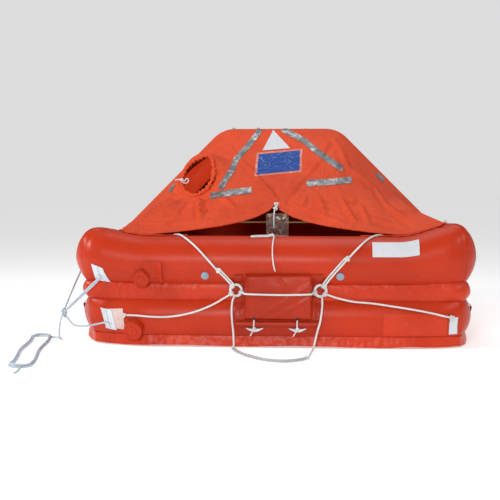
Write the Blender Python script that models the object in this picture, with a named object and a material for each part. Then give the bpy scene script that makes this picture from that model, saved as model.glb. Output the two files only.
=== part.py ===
"""Six-person inflatable life raft, standing on a floor.

Metres, +Z up. The origin is on the floor under the raft's middle, the entrance faces -Y.
"""
import math

import bmesh
import bpy
from mathutils import Vector

# Driving sizes of the tubes
SIDE = 2.05
TUBE_R = 0.1385
TUBE_SIDES = 20
GAP = 0.0003
FLOOR_THICK = 0.006

# Where the tubes' centre lines run
HALF = SIDE / 2
AXIS = HALF - TUBE_R
LOWER_Z = TUBE_R
UPPER_Z = LOWER_Z + 2 * TUBE_R + GAP
TOP_Z = UPPER_Z + TUBE_R
VALLEY_Z = LOWER_Z + TUBE_R

# How the corners are shaped: rounded in plan, the top swollen and the foot drawn in
CORNER_ROUND = 0.17
CORNER_REACH = 0.40
MITRE_GAP = 0.00025
# Columns: side in X, side in Y, how far the foot is drawn in, how high the top curls up
CORNERS = {
    (-1, -1): (0.062, 0.060),
    (1, -1): (0.036, 0.080),
    (-1, 1): (0.050, 0.045),
    (1, 1): (0.050, 0.050),
}

# Patches and other thin pieces on the tubes
PATCH_THICK = 0.002
PATCH_LIFT = 2 * GAP
CORNER_PATCH_LIFT = 0.0025
LOWER_PATCH_LIFT = 0.0018

# Places along each side where its shape is drawn, as a share of the way to the mitre
STRAIGHT_TO = 0.62
STATIONS = (-1.0, -0.95, -0.88, -0.78, -STRAIGHT_TO, STRAIGHT_TO, 0.78, 0.88, 0.95, 1.0)

# Canopy arch: a trapezoid of inflated tube
ARCH_R = 0.075
ARCH_SIDES = 14
ARCH_TOP_Z = 1.060
ARCH_HALF_RIDGE = 0.308
ARCH_BEND = 0.10
ARCH_LEG = 0.705
ARCH_FOOT_EXTRA = 0.095
SHEET_THICK = 0.003
SHEET_SAG = 0.018

# Ropes
ROPE_R = 0.005
ROPE_LIFT = 0.0016
SWAG_LIFT = 0.0010
PAINTER_R = 0.0048

COLOURS = {
    # name: red, green, blue, roughness, metallic
    "tube_fabric": (0.62, 0.072, 0.022, 0.42, 0.0),
    "canopy_cloth": (0.78, 0.115, 0.030, 0.62, 0.0),
    "floor_fabric": (0.05, 0.05, 0.055, 0.70, 0.0),
    "white_patch": (0.78, 0.80, 0.82, 0.55, 0.0),
    "white_rope": (0.80, 0.80, 0.78, 0.75, 0.0),
    "white_plastic": (0.82, 0.82, 0.80, 0.40, 0.0),
    "grey_plug": (0.40, 0.47, 0.55, 0.45, 0.0),
    "blue_sign": (0.03, 0.10, 0.38, 0.45, 0.0),
    "clear_vinyl": (0.35, 0.25, 0.20, 0.25, 0.0),
    "rung_vinyl": (0.62, 0.64, 0.66, 0.30, 0.0),
}


def clear_scene():
    for old in list(bpy.data.objects):
        bpy.data.objects.remove(old, do_unlink=True)


def material(name):
    found = bpy.data.materials.get(name)
    if found:
        return found
    red, green, blue, roughness, metallic = COLOURS[name]
    made = bpy.data.materials.new(name)
    made.use_nodes = True
    shader = made.node_tree.nodes["Principled BSDF"]
    shader.inputs["Base Color"].default_value = (red, green, blue, 1.0)
    shader.inputs["Roughness"].default_value = roughness
    shader.inputs["Metallic"].default_value = metallic
    return made


def clamp(value, low=0.0, high=1.0):
    return max(low, min(high, value))


def smooth(value):
    value = clamp(value)
    return value * value * (3 - 2 * value)


def between(table, value):
    """Read a two-column table at a value, straight between its rows."""
    for (x0, y0), (x1, y1) in zip(table, table[1:]):
        if value <= x1:
            return y0 + (y1 - y0) * clamp((value - x0) / (x1 - x0))
    return table[-1][1]


# The raft's own shape

def settle(x, y, z):
    """Carry a point of the square tubes to the shape their corners really take."""
    sx = -1 if x < 0 else 1
    sy = -1 if y < 0 else 1
    ax, ay = abs(x), abs(y)
    corner = smooth((min(ax, ay) - (HALF - CORNER_REACH)) / (CORNER_REACH - 0.06))
    start = HALF - CORNER_ROUND
    u = max(0.0, (ax - start) / CORNER_ROUND)
    v = max(0.0, (ay - start) / CORNER_ROUND)
    if u > 0 and v > 0:
        ax = start + CORNER_ROUND * u * math.sqrt(1 - v * v / 2)
        ay = start + CORNER_ROUND * v * math.sqrt(1 - u * u / 2)
    high = clamp((z - VALLEY_Z) / (TOP_Z - VALLEY_Z))
    low = clamp(1 - z / UPPER_Z)
    foot_in, top_rise = CORNERS[(sx, sy)]
    draw_in = foot_in * corner * low
    return Vector((sx * (ax - draw_in), sy * (ay - draw_in), z + top_rise * corner * high))


def wall(side, along, out, z):
    """A point on one side: along it, out from the tubes' centre line, and up.

    It runs straight between the stations, so that whatever lies on a tube follows its facets.
    """
    reach = AXIS + out
    share = clamp(along / reach, -1.0, 1.0)
    before = max(t for t in STATIONS[:-1] if t <= share)
    after = STATIONS[STATIONS.index(before) + 1]
    ends = []
    for t in (before, after):
        places = {
            "front": (t * reach, -reach),
            "right": (reach, t * reach),
            "back": (-t * reach, reach),
            "left": (-reach, -t * reach),
        }
        ends.append(settle(*places[side], z))
    return ends[0].lerp(ends[1], (share - before) / (after - before))


def round_out(angle_deg, radius):
    angle = math.radians(angle_deg)
    return radius * math.cos(angle), radius * math.sin(angle)


def facet_radius(angle_deg):
    """Radius of a tube's faceted section in a direction."""
    facet = 360 / TUBE_SIDES
    off = (angle_deg + 90) % facet - facet / 2
    return TUBE_R * math.cos(math.radians(facet / 2)) / math.cos(math.radians(off))


def over_round(centre_z, angle_deg, lift):
    """Out and up of a point above a tube's round, as a rope lies over its facets' edges."""
    out, up = round_out(angle_deg, TUBE_R + lift)
    return out, centre_z + up


def on_facets(centre_z, angle_deg, lift):
    """Out and up of a point above a tube's facets, as a patch lies on them."""
    out, up = round_out(angle_deg, facet_radius(angle_deg) + lift)
    return out, centre_z + up


def stations_between(low, high):
    inside = [t for t in STATIONS if low < t < high]
    return [low] + inside + [high]


# Making meshes

def add_mesh(name, verts, faces, colour, angle=40.0):
    mesh = bpy.data.meshes.new(name)
    mesh.from_pydata([tuple(v) for v in verts], [], faces)
    shape = bmesh.new()
    shape.from_mesh(mesh)
    bmesh.ops.recalc_face_normals(shape, faces=shape.faces)
    shape.to_mesh(mesh)
    shape.free()
    mesh.shade_smooth()
    mesh.set_sharp_from_angle(angle=math.radians(angle))
    made = bpy.data.objects.new(name, mesh)
    made.data.materials.append(material(colour))
    bpy.context.scene.collection.objects.link(made)
    return made


def sweep(name, rings, colour, closed=False, angle=40.0):
    """Join rings of points into one closed skin, capped at both ends unless it closes on itself."""
    count = len(rings[0])
    verts = [point for ring in rings for point in ring]
    faces = []
    steps = len(rings) if closed else len(rings) - 1
    for i in range(steps):
        j = (i + 1) % len(rings)
        for k in range(count):
            m = (k + 1) % count
            faces.append((i * count + k, i * count + m, j * count + m, j * count + k))
    if not closed:
        faces.append(tuple(range(count)))
        faces.append(tuple(range((len(rings) - 1) * count, len(rings) * count)))
    return add_mesh(name, verts, faces, colour, angle)


def rope(name, points, radius, colour="white_rope", resolution=1):
    """A round line through smooth points, as a filled curve."""
    curve = bpy.data.curves.new(name, "CURVE")
    curve.dimensions = "3D"
    curve.bevel_depth = radius
    curve.bevel_resolution = resolution
    curve.use_fill_caps = True
    spline = curve.splines.new("POLY")
    spline.points.add(len(points) - 1)
    for slot, point in zip(spline.points, points):
        slot.co = (*point, 1.0)
    made = bpy.data.objects.new(name, curve)
    curve.materials.append(material(colour))
    bpy.context.scene.collection.objects.link(made)
    return made


def smooth_route(points, spacing):
    """Points at an even spacing on a smooth curve through the given ones."""
    knots = [Vector(p) for p in points]
    knots = [knots[0] * 2 - knots[1]] + knots + [knots[-1] * 2 - knots[-2]]
    fine = []
    for p0, p1, p2, p3 in zip(knots, knots[1:], knots[2:], knots[3:]):
        for i in range(24):
            t = i / 24
            fine.append(0.5 * ((2 * p1) + (p2 - p0) * t + (2 * p0 - 5 * p1 + 4 * p2 - p3) * t * t
                               + (3 * p1 - p0 - 3 * p2 + p3) * t * t * t))
    fine.append(knots[-2])
    length = sum((b - a).length for a, b in zip(fine, fine[1:]))
    count = max(2, round(length / spacing))
    step = length / count
    route = [fine[0]]
    run = 0.0
    for a, b in zip(fine, fine[1:]):
        piece = (b - a).length
        while len(route) < count and run + piece >= step * len(route):
            route.append(a + (b - a) * ((step * len(route) - run) / piece))
        run += piece
    route.append(fine[-1])
    return route


def tube_point(side, along, centre_z, angle_deg):
    out, up = round_out(angle_deg, facet_radius(angle_deg))
    return wall(side, along, out, centre_z + up)


def disc_on_tube(name, side, along, centre_z, angle_deg, rings, colour, sides=20):
    """A turned piece seated on a tube, its rows given as height above the seat and radius."""
    widest = max(radius for _, radius in rings)
    turn = math.degrees(math.asin(widest / TUBE_R))
    foot = tube_point(side, along, centre_z, angle_deg)
    sideways = (tube_point(side, along + widest, centre_z, angle_deg)
                - tube_point(side, along - widest, centre_z, angle_deg))
    upward = (tube_point(side, along, centre_z, angle_deg + turn)
              - tube_point(side, along, centre_z, angle_deg - turn))
    normal = sideways.cross(upward).normalized()
    across = sideways.normalized()
    rise = normal.cross(across)
    seat = 0.0
    for i in range(-8, 9):
        for k in range(-8, 9):
            touch = tube_point(side, along + widest * i / 8, centre_z, angle_deg + turn * k / 8) - foot
            height = touch.dot(normal)
            if (touch - normal * height).length <= widest * 1.05:
                seat = max(seat, height)
    foot = foot + normal * (seat + 3 * GAP)
    loops = []
    for height, radius in rings:
        loop = []
        for k in range(sides):
            around = 2 * math.pi * k / sides
            loop.append(foot + normal * height + across * (radius * math.cos(around))
                        + rise * (radius * math.sin(around)))
        loops.append(loop)
    return sweep(name, loops, colour)


def patch_lift(t, corner_lift):
    """Clearance under a patch. The corners' facets are twisted, so it is more there."""
    return PATCH_LIFT if abs(t) <= STRAIGHT_TO else corner_lift


def patch_on_tube(name, side, centre_z, angles, along_low, along_high, thick, colour,
                  corner_lift=CORNER_PATCH_LIFT):
    """A thin piece that follows a tube's skin between two angles and two places along it."""
    spread = AXIS + TUBE_R
    stations = stations_between(along_low / spread, along_high / spread)
    rings = []
    for t in stations:
        lift = patch_lift(t, corner_lift)
        inner = [on_facets(centre_z, a, lift) for a in angles]
        outer = [on_facets(centre_z, a, lift + thick) for a in reversed(angles)]
        rings.append([wall(side, t * (AXIS + out), out, z) for out, z in inner + outer])
    return sweep(name, rings, colour)


# Buoyancy tubes, strip, skirt and floor

def mitre_shift(side, t):
    """The ends of a length stand back a little from its neighbour's."""
    back = -math.copysign(MITRE_GAP, t) if abs(t) == 1.0 else 0.0
    shifts = {"front": (back, 0), "right": (0, back), "back": (-back, 0), "left": (0, -back)}
    return Vector((*shifts[side], 0))


def buoyancy_tubes():
    steps = [360 * k / TUBE_SIDES - 90 for k in range(TUBE_SIDES)]
    for level, centre_z in (("lower", LOWER_Z), ("upper", UPPER_Z)):
        for side in ("front", "right", "back", "left"):
            rings = []
            for t in STATIONS:
                ring = []
                for angle in steps:
                    out, up = round_out(angle, TUBE_R)
                    place = wall(side, t * (AXIS + out), out, centre_z + up)
                    ring.append(place + mitre_shift(side, t))
                rings.append(ring)
            sweep(f"{level}_tube_{side}", rings, "tube_fabric")


def ring_round(name, profile_at, colour, stations=STATIONS):
    """A closed band round all four sides. profile_at gives its section at a side and station."""
    rings = []
    for side in ("front", "right", "back", "left"):
        for t in stations[:-1]:
            rings.append([wall(side, t * (AXIS + out), out, z) for out, z in profile_at(side, t)])
    return sweep(name, rings, colour, closed=True)


STRIP_THICK = 0.003
STRIP_BULGE = 0.012


def strip_profile(side, t):
    """A slack web, joined to both tubes along its edges."""
    lift = patch_lift(t, CORNER_PATCH_LIFT)
    lap_out, lap_z = on_facets(UPPER_Z, -45, lift)
    low_out, low_z = on_facets(LOWER_Z, 45, lift)
    inner = [(lap_out, lap_z)]
    for share in (0.3, 0.7):
        inner.append((lap_out + STRIP_BULGE * 0.5, lap_z + (low_z - lap_z) * share))
    inner.append((low_out, low_z))
    outer = [(out + STRIP_THICK, z) for out, z in reversed(inner)]
    return inner + outer


SKIRT_TOP_ANGLE = -36
SKIRT_THICK = 0.003
SKIRT_FLARE = 0.020


def skirt_profile(side, t):
    wave = math.sin(t * 23) * (1 - abs(t) ** 6)
    top_out, top_z = on_facets(LOWER_Z, SKIRT_TOP_ANGLE, 2 * GAP)
    middle = (top_out + SKIRT_FLARE * (0.5 + 0.15 * wave), top_z * 0.55)
    foot = (top_out + SKIRT_FLARE * (0.8 + 0.25 * wave), 0.003 + 0.003 * wave)
    inner = [(top_out, top_z), middle, foot]
    outer = [(out + SKIRT_THICK, z) for out, z in reversed(inner)]
    return inner + outer


SKIRT_STATIONS = STATIONS[:5] + (-0.42, -0.21, 0.0, 0.21, 0.42) + STATIONS[5:]


def raft_floor():
    """The floor lies between the lower tube's feet."""
    edge = -0.0425
    loops = []
    for z in (0.0, FLOOR_THICK):
        loop = []
        for side in ("front", "right", "back", "left"):
            for t in STATIONS[:-1]:
                loop.append(wall(side, t * (AXIS + edge), edge, z))
        loops.append(loop)
    return sweep("floor", loops, "floor_fabric")


# Arch and canopy

ARC_LENGTH = ARCH_BEND * math.pi / 4
RIDGE_STRAIGHT = ARCH_HALF_RIDGE - ARCH_BEND * math.tan(math.pi / 8)
SHOULDER = RIDGE_STRAIGHT + ARC_LENGTH


def arch_frame(distance):
    """Centre and outward direction of the arch, at a distance from the ridge's middle."""
    side = -1 if distance < 0 else 1
    d = abs(distance)
    if d <= RIDGE_STRAIGHT:
        return Vector((side * d, 0, ARCH_TOP_Z)), Vector((0, 0, 1))
    turn = min((d - RIDGE_STRAIGHT) / ARCH_BEND, math.pi / 4)
    normal = Vector((side * math.sin(turn), 0, math.cos(turn)))
    hub = Vector((side * RIDGE_STRAIGHT, 0, ARCH_TOP_Z - ARCH_BEND))
    centre = hub + normal * ARCH_BEND
    leg = max(0.0, d - SHOULDER)
    return centre + Vector((side, 0, -1)) * (leg / math.sqrt(2)), normal


SIGN_EDGE = 0.12
LEG_STEPS = (0.14, 0.28, 0.40, 0.50, 0.61, ARCH_LEG)
HALF_DISTANCES = ([0.0, SIGN_EDGE, RIDGE_STRAIGHT]
                  + [RIDGE_STRAIGHT + ARC_LENGTH * k / 3 for k in (1, 2, 3)]
                  + [SHOULDER + step for step in LEG_STEPS])
ARCH_DISTANCES = [-d for d in reversed(HALF_DISTANCES[1:])] + HALF_DISTANCES


def arch_tube():
    ends = SHOULDER + ARCH_LEG + ARCH_FOOT_EXTRA
    rings = []
    for d in [-ends] + ARCH_DISTANCES + [ends]:
        centre, normal = arch_frame(d)
        ring = []
        for k in range(ARCH_SIDES):
            turn = 2 * math.pi * k / ARCH_SIDES
            ring.append(centre + normal * (ARCH_R * math.cos(turn))
                        + Vector((0, ARCH_R * math.sin(turn), 0)))
        rings.append(ring)
    arch = sweep("arch_tube", rings, "tube_fabric")
    cut_sides = 40
    cut_r = (TUBE_R + GAP) / math.cos(math.pi / cut_sides)
    for side in (-1, 1):
        rings = []
        for y in (-0.3, 0.3):
            rings.append([Vector((side * AXIS + cut_r * math.cos(2 * math.pi * k / cut_sides), y,
                                  UPPER_Z + cut_r * math.sin(2 * math.pi * k / cut_sides)))
                          for k in range(cut_sides)])
        cutter = sweep(f"arch_foot_cutter_{side}", rings, "tube_fabric")
        cutter.hide_render = True
        cutter.display_type = "WIRE"
        cut = arch.modifiers.new("foot", "BOOLEAN")
        cut.operation = "DIFFERENCE"
        cut.object = cutter
    return arch


# Columns: distance along the arch from the ridge's middle, distance along the hem from its middle
HEM_OF_ARCH = ((0.0, 0.0), (0.345, 0.45), (0.68, 0.85), (1.05, 1.64))
HEM_CORNER = 0.85
SIDE_HEM_OUT = 0.045
# Columns: distance from the entrance tie, how high the hem is lifted there
HEM_LIFT = ((0.0, 0.157), (0.03, 0.122), (0.10, 0.088), (0.18, 0.064), (0.28, 0.044),
            (0.40, 0.028), (0.50, 0.016), (0.65, 0.004), (0.80, 0.0))
# How far the hem lies off the tubes along their sides, and over their curled corners
HEM_LIE = 0.0012
HEM_CORNER_LIE = 0.0080
CANOPY_SLOPE = 0.6576
WRAP_ANGLE = 35.0
SHEET_ROWS = (0.18, 0.36, 0.54, 0.72, 0.88, 1.0)


def hem_point(distance, entrance):
    """Where the canopy's edge lies on the tubes, at a distance from the front's middle."""
    side = -1 if distance < 0 else 1
    b = abs(distance)
    lie = HEM_LIE + HEM_CORNER_LIE * smooth((b - 0.50) / 0.25) * smooth((1.35 - b) / 0.30)
    if b <= HEM_CORNER:
        lift = between(HEM_LIFT, b) if entrance else 0.0
        place = wall("front", side * b, 0.0, TOP_Z)
        return place + Vector((0, lift / CANOPY_SLOPE, lift + lie))
    share = b - HEM_CORNER
    out = SIDE_HEM_OUT * smooth(share / 0.5) - 0.02 * (1 - smooth(share / 0.3))
    up = math.sqrt(TUBE_R ** 2 - out ** 2)
    back = -HEM_CORNER - 0.01 + share
    place = wall("right" if side > 0 else "left", side * back, out, UPPER_Z + up)
    return place + Vector((0, 0, lie))


def sheet_column(distance, entrance):
    """Points of the sheet from the arch's crown down to the hem."""
    centre, normal = arch_frame(distance)
    hem = hem_point(math.copysign(between(HEM_OF_ARCH, abs(distance)), distance), entrance)
    radius = (ARCH_R + GAP) / math.cos(math.radians(WRAP_ANGLE / 4))
    column = []
    for share in (0.0, 0.5, 1.0):
        turn = math.radians(WRAP_ANGLE) * share
        column.append(centre + normal * (radius * math.cos(turn))
                      + Vector((0, -radius * math.sin(turn), 0)))
    start = column[-1].copy()
    for row in SHEET_ROWS:
        point = start + (hem - start) * row
        point.z -= SHEET_SAG * math.sin(math.pi * row) * min(1.0, (hem - start).length / 0.6)
        column.append(point)
    column[0].y = -GAP
    return column


def canopy_sheet(name, entrance, mirror_y):
    """A cloth sheet from the ridge down to the tubes. The back one is the front one turned round."""
    columns = [sheet_column(d, entrance) for d in ARCH_DISTANCES]
    rows = len(columns[0])
    verts = []
    for column in columns:
        for point in column:
            verts.append(Vector((point.x, -point.y if mirror_y else point.y, point.z)))
    faces = []
    for i in range(len(columns) - 1):
        for k in range(rows - 1):
            face = (i * rows + k, i * rows + k + 1, (i + 1) * rows + k + 1, (i + 1) * rows + k)
            faces.append(tuple(reversed(face)) if mirror_y else face)
    mesh = bpy.data.meshes.new(name)
    mesh.from_pydata([tuple(v) for v in verts], [], faces)
    mesh.shade_smooth()
    sheet = bpy.data.objects.new(name, mesh)
    mesh.materials.append(material("canopy_cloth"))
    bpy.context.scene.collection.objects.link(sheet)
    thick = sheet.modifiers.new("cloth", "SOLIDIFY")
    thick.thickness = SHEET_THICK
    thick.offset = 1.0
    return sheet


# Port on the left of the front sheet
PORT_ARCH_DISTANCE = -0.38
PORT_ROW = 0.40
PORT_HALF_WIDE = 0.108
PORT_HALF_TALL = 0.125
PORT_RIM_R = 0.012


def port_frame():
    """Middle of the port, its outward direction, and its upward direction."""
    here = sheet_column(PORT_ARCH_DISTANCE, True)
    near = sheet_column(PORT_ARCH_DISTANCE - 0.05, True)
    start, hem = here[2], here[-1]
    middle = start + (hem - start) * PORT_ROW
    down = (hem - start).normalized()
    across = (near[2] + (near[-1] - near[2]) * PORT_ROW - middle)
    normal = down.cross(across).normalized()
    if normal.y > 0:
        normal = -normal
    middle.z -= SHEET_SAG * math.sin(math.pi * PORT_ROW)
    return middle, normal, -down


def port_ellipse(middle, normal, upward, grow, height, count):
    across = upward.cross(normal).normalized()
    loop = []
    for k in range(count):
        turn = 2 * math.pi * k / count
        loop.append(middle + across * ((PORT_HALF_WIDE + grow) * math.cos(turn))
                    + upward * ((PORT_HALF_TALL + grow) * math.sin(turn)) + normal * height)
    return loop


def port(sheet):
    middle, normal, upward = port_frame()
    rings = [port_ellipse(middle, normal, upward, 0.0, h, 24) for h in (-0.08, 0.08)]
    cutter = sweep("port_cutter", rings, "canopy_cloth")
    cutter.hide_render = True
    cutter.display_type = "WIRE"
    cut = sheet.modifiers.new("port", "BOOLEAN")
    cut.operation = "DIFFERENCE"
    cut.object = cutter
    # The rolled rim lies just inside the hole, proud of the sheet on both faces
    count = 24
    path = port_ellipse(middle, normal, upward, -PORT_RIM_R - 2 * GAP, 0.002, count)
    rings = []
    for k in range(count):
        tangent = (path[(k + 1) % count] - path[k - 1]).normalized()
        outward = tangent.cross(normal)
        rings.append([path[k] + outward * (PORT_RIM_R * math.cos(a)) + normal * (PORT_RIM_R * math.sin(a))
                      for a in (math.pi / 4 * m for m in range(8))])
    sweep("port_rim", rings, "canopy_cloth", closed=True)


# Signs on the canopy, and plates and patches on the tubes
SIGN_FALL = (0.187, 0.443)
SIGN_THICK = 0.0015


def down_column(column, distance):
    """A point of the sheet, at a distance down the slope from where it leaves the arch."""
    run = 0.0
    for a, b in zip(column[2:], column[3:]):
        step = (b - a).length
        if run + step >= distance:
            return a.lerp(b, (distance - run) / step)
        run += step
    return column[-1]


def capacity_placard():
    """A blank sign that follows the sheet below the ridge."""
    columns = [sheet_column(d, True) for d in (-SIGN_EDGE, 0.0, SIGN_EDGE)]
    fall = (columns[1][-1] - columns[1][2]).normalized()
    normal = Vector((1, 0, 0)).cross(-fall).normalized()
    lie = SHEET_THICK + 3 * GAP
    middle_fall = sum(SIGN_FALL) / 2
    rings = []
    for column in columns:
        line = [down_column(column, d) for d in (SIGN_FALL[0], middle_fall, SIGN_FALL[1])]
        low = [p + normal * lie for p in line]
        high = [p + normal * (lie + SIGN_THICK) for p in reversed(line)]
        rings.append(low + high)
    sweep("capacity_placard", rings, "blue_sign")


def plates_and_patches():
    # Columns: name, tube height, angles from top to foot, along from, along to, colour
    table = (
        ("name_plate", UPPER_Z, (54, 36, 18), 0.496, 0.727, "white_patch"),
        ("instruction_patch", LOWER_Z, (18, 0, -18, -30), 0.552, 0.905, "tube_fabric"),
        ("painter_patch", UPPER_Z, (-12, -18, -36, -43), -0.945, -0.835, "white_patch"),
        ("lower_patch_outer", LOWER_Z, (18, 0, -18, -26), -0.925, -0.832, "white_patch"),
        ("lower_patch_inner", LOWER_Z, (18, 0, -18), -0.8315, -0.770, "white_patch"),
        ("right_patch", LOWER_Z, (8, 0, -18, -28), 0.925, 0.985, "white_patch"),
    )
    for name, centre_z, angles, low, high, colour in table:
        corner_lift = LOWER_PATCH_LIFT if name.startswith("lower") else CORNER_PATCH_LIFT
        patch_on_tube(name, "front", centre_z, angles, low, high, PATCH_THICK, colour, corner_lift)


# Valves and plugs

def valves_and_plugs():
    cap = ((0.0, 0.034), (0.004, 0.038), (0.030, 0.038), (0.036, 0.032))
    low_cap = ((0.0, 0.042), (0.004, 0.047), (0.030, 0.047), (0.036, 0.040))
    plug = ((0.0, 0.017), (0.003, 0.020), (0.009, 0.019), (0.013, 0.012))
    disc_on_tube("upper_valve_cap", "front", -0.655, UPPER_Z, -25, cap, "tube_fabric")
    disc_on_tube("lower_valve_cap", "front", -0.70, LOWER_Z, -18, low_cap, "tube_fabric", 24)
    # Columns: name, side, along, angle
    plugs = (
        ("plug_front_left", "front", -0.337, -22),
        ("plug_front_right", "front", 0.338, -22),
        ("plug_left", "left", 0.72, -28),
        ("plug_right", "right", -0.70, -20),
    )
    for name, side, along, angle in plugs:
        disc_on_tube(name, side, along, UPPER_Z, angle, plug, "grey_plug", 14)


HOOD_THICK = 0.004


def valve_hood():
    """A cloth flap folded over the upper valve, open towards the cap."""
    low, high = -0.60, -0.555
    angles = (0, -18, -34)
    patch_on_tube("valve_hood", "front", UPPER_Z, angles, low, high, HOOD_THICK, "tube_fabric")


# Boarding pouch, its bar, its lower panel, the toggles and the rings
POUCH_DEEP = 0.165
POUCH_CLEAR = 0.002


def pouch_back(z):
    """How far out the tubes and the strip stand at a height."""
    reach = 0.1050 if 0.215 < z < 0.345 else 0.0
    for centre in (LOWER_Z, UPPER_Z):
        rise = abs(z - centre)
        if rise < TUBE_R:
            reach = max(reach, math.sqrt(TUBE_R ** 2 - rise ** 2))
    return reach + POUCH_CLEAR


def boarding_pouch():
    heights = (0.142, 0.168, 0.195, 0.220, 0.242, 0.312, 0.335, 0.368)
    # Columns: along, how deep the front stands beyond the flat side folds
    stations = ((-0.193, 0.0), (-0.142, 0.0), (-0.128, 0.85), (0.03, 1.0), (0.188, 0.85),
                (0.202, 0.0), (0.253, 0.0))
    rings = []
    for along, fullness in stations:
        back = [(pouch_back(z), z) for z in heights]
        front = []
        for share, z in ((1.0, 0.362), (1.0, 0.332), (1.0, 0.24), (1.0, 0.185), (0.9, 0.148)):
            thin = pouch_back(z) + 0.003
            front.append((thin + (max(thin, POUCH_DEEP * share) - thin) * fullness, z))
        rings.append([wall("front", along, out, z) for out, z in back + front])
    sweep("boarding_pouch", rings, "tube_fabric", angle=30.0)


BAR_R = 0.0115
BAR_ANGLE = -5.4
PANEL_THICK = 0.003


def pouch_bar_and_panel():
    patch_on_tube("pouch_panel", "front", LOWER_Z, (0, -18, -30), -0.187, 0.222,
                  PANEL_THICK, "tube_fabric")
    bar_out, bar_z = on_facets(LOWER_Z, BAR_ANGLE, PATCH_LIFT + PANEL_THICK + 2 * GAP + BAR_R)
    rings = []
    for along in (-0.187, 0.245):
        ring = []
        for k in range(12):
            turn = 2 * math.pi * k / 12
            ring.append(wall("front", along, bar_out + BAR_R * math.cos(turn),
                             bar_z + BAR_R * math.sin(turn)))
        rings.append(ring)
    sweep("pouch_bar", rings, "tube_fabric")


TOGGLE_ANGLE = -18
TOGGLE_THICK = 0.008


def toggles():
    """Two white crescents that close the pouch, flat against its lower panel."""
    normal = Vector(round_out(TOGGLE_ANGLE, 1.0))
    upward = Vector((-normal.y, normal.x))
    seat_out, seat_z = on_facets(LOWER_Z, TOGGLE_ANGLE, PATCH_LIFT + PANEL_THICK + 2 * GAP)
    seat = Vector((seat_out, seat_z))
    for name, middle in (("toggle_left", -0.088), ("toggle_right", 0.127)):
        outline = []
        steps = 8
        for k in range(steps + 1):
            share = -1 + 2 * k / steps
            outline.append((share * 0.044, -0.012 + 0.016 * share * share))
        for k in range(1, steps):
            share = 1 - 2 * k / steps
            outline.append((share * 0.044, 0.004 + 0.002 * share * share))
        rings = []
        for height in (0.0, TOGGLE_THICK):
            ring = []
            for across, up in outline:
                out, z = seat + upward * up + normal * height
                ring.append(wall("front", middle + across, out, z))
            rings.append(ring)
        sweep(name, rings, "white_plastic")


RING_OUTER = 0.035
RING_INNER = 0.022
RING_THICK = 0.005
RING_Z = 0.288
RING_BACK = 0.1175
RING_PLACES = (("ring_left", -0.182), ("ring_right", 0.240))


def flat_rings():
    for name, middle in RING_PLACES:
        rings = []
        for k in range(20):
            turn = 2 * math.pi * k / 20
            ring = []
            for radius, out in ((RING_INNER, RING_BACK), (RING_OUTER, RING_BACK),
                                (RING_OUTER, RING_BACK + RING_THICK),
                                (RING_INNER, RING_BACK + RING_THICK)):
                ring.append(wall("front", middle + radius * math.cos(turn), out,
                                 RING_Z + radius * math.sin(turn)))
            rings.append(ring)
        sweep(name, rings, "white_plastic", closed=True)


# Lines held by the raft

def wall_route(side, table):
    """Columns of the table: along the side, out from the centre line, up."""
    return [wall(side, along, out, z) for along, out, z in table]


def on_upper(angle):
    return over_round(UPPER_Z, angle, ROPE_R + ROPE_LIFT)


def on_lower(angle):
    return over_round(LOWER_Z, angle, ROPE_R + ROPE_LIFT)


def over_patch(angle):
    return over_round(LOWER_Z, angle, ROPE_R + CORNER_PATCH_LIFT + PATCH_THICK + 2 * ROPE_LIFT)


def over_tube(rows, surface):
    """Rows of along and angle, taken to a tube's skin."""
    return [(along, *surface(angle)) for along, angle in rows]


def held_lines():
    ring_face = RING_BACK + RING_THICK + GAP + ROPE_R
    left = over_tube(((-0.520, 104), (-0.480, 84), (-0.440, 62), (-0.385, 38), (-0.330, 14),
                      (-0.275, -10), (-0.235, -28)), on_upper)
    left.append((-0.2003, ring_face, 0.3098))
    rope("bridle_left", smooth_route(wall_route("front", left), 0.028), ROPE_R)
    right = over_tube(((0.560, 104), (0.520, 84), (0.476, 62), (0.428, 38), (0.375, 14),
                       (0.330, -6), (0.290, -26)), on_upper)
    right.append((0.2583, ring_face, 0.3098))
    rope("bridle_right", smooth_route(wall_route("front", right), 0.028), ROPE_R)
    across = POUCH_DEEP + ROPE_R + 3 * GAP
    between_rings = ((-0.1545, ring_face, 0.2806), (-0.142, 0.150, 0.2775), (-0.120, across, 0.275),
                     (0.03, across, 0.272), (0.178, across, 0.275), (0.200, 0.150, 0.2775),
                     (0.2125, ring_face, 0.2806))
    rope("ring_line", smooth_route(wall_route("front", between_rings), 0.035), ROPE_R)
    front_left = [(-0.2053, ring_face, 0.2717), (-0.240, 0.133, 0.250), (-0.300, 0.141, 0.216)]
    front_left += over_tube(((-0.378, 18), (-0.455, 10), (-0.532, 6), (-0.610, 6),
                             (-0.690, 8), (-0.762, 8)), on_lower)
    rope("grab_line_front_left", smooth_route(wall_route("front", front_left), 0.045), ROPE_R)
    front_right = [(0.2647, ring_face, 0.2738), (0.320, 0.132, 0.255), (0.40, 0.140, 0.238)]
    front_right += over_tube(((0.50, 36), (0.60, 30), (0.70, 24), (0.80, 17), (0.88, 11),
                              (0.935, 8)), over_patch)
    rope("grab_line_front_right", smooth_route(wall_route("front", front_right), 0.045), ROPE_R)
    for side in ("left", "right", "back"):
        rows = []
        for k in range(17):
            share = k / 16
            along = -0.76 + 1.52 * share
            swag = abs(math.sin(2 * math.pi * share))
            rows.append((along, 18 - 22 * swag))
        route = wall_route(side, over_tube(rows, lambda a: over_round(LOWER_Z, a, ROPE_R + SWAG_LIFT)))
        rope(f"grab_line_{side}", smooth_route(route, 0.07), ROPE_R)


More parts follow.
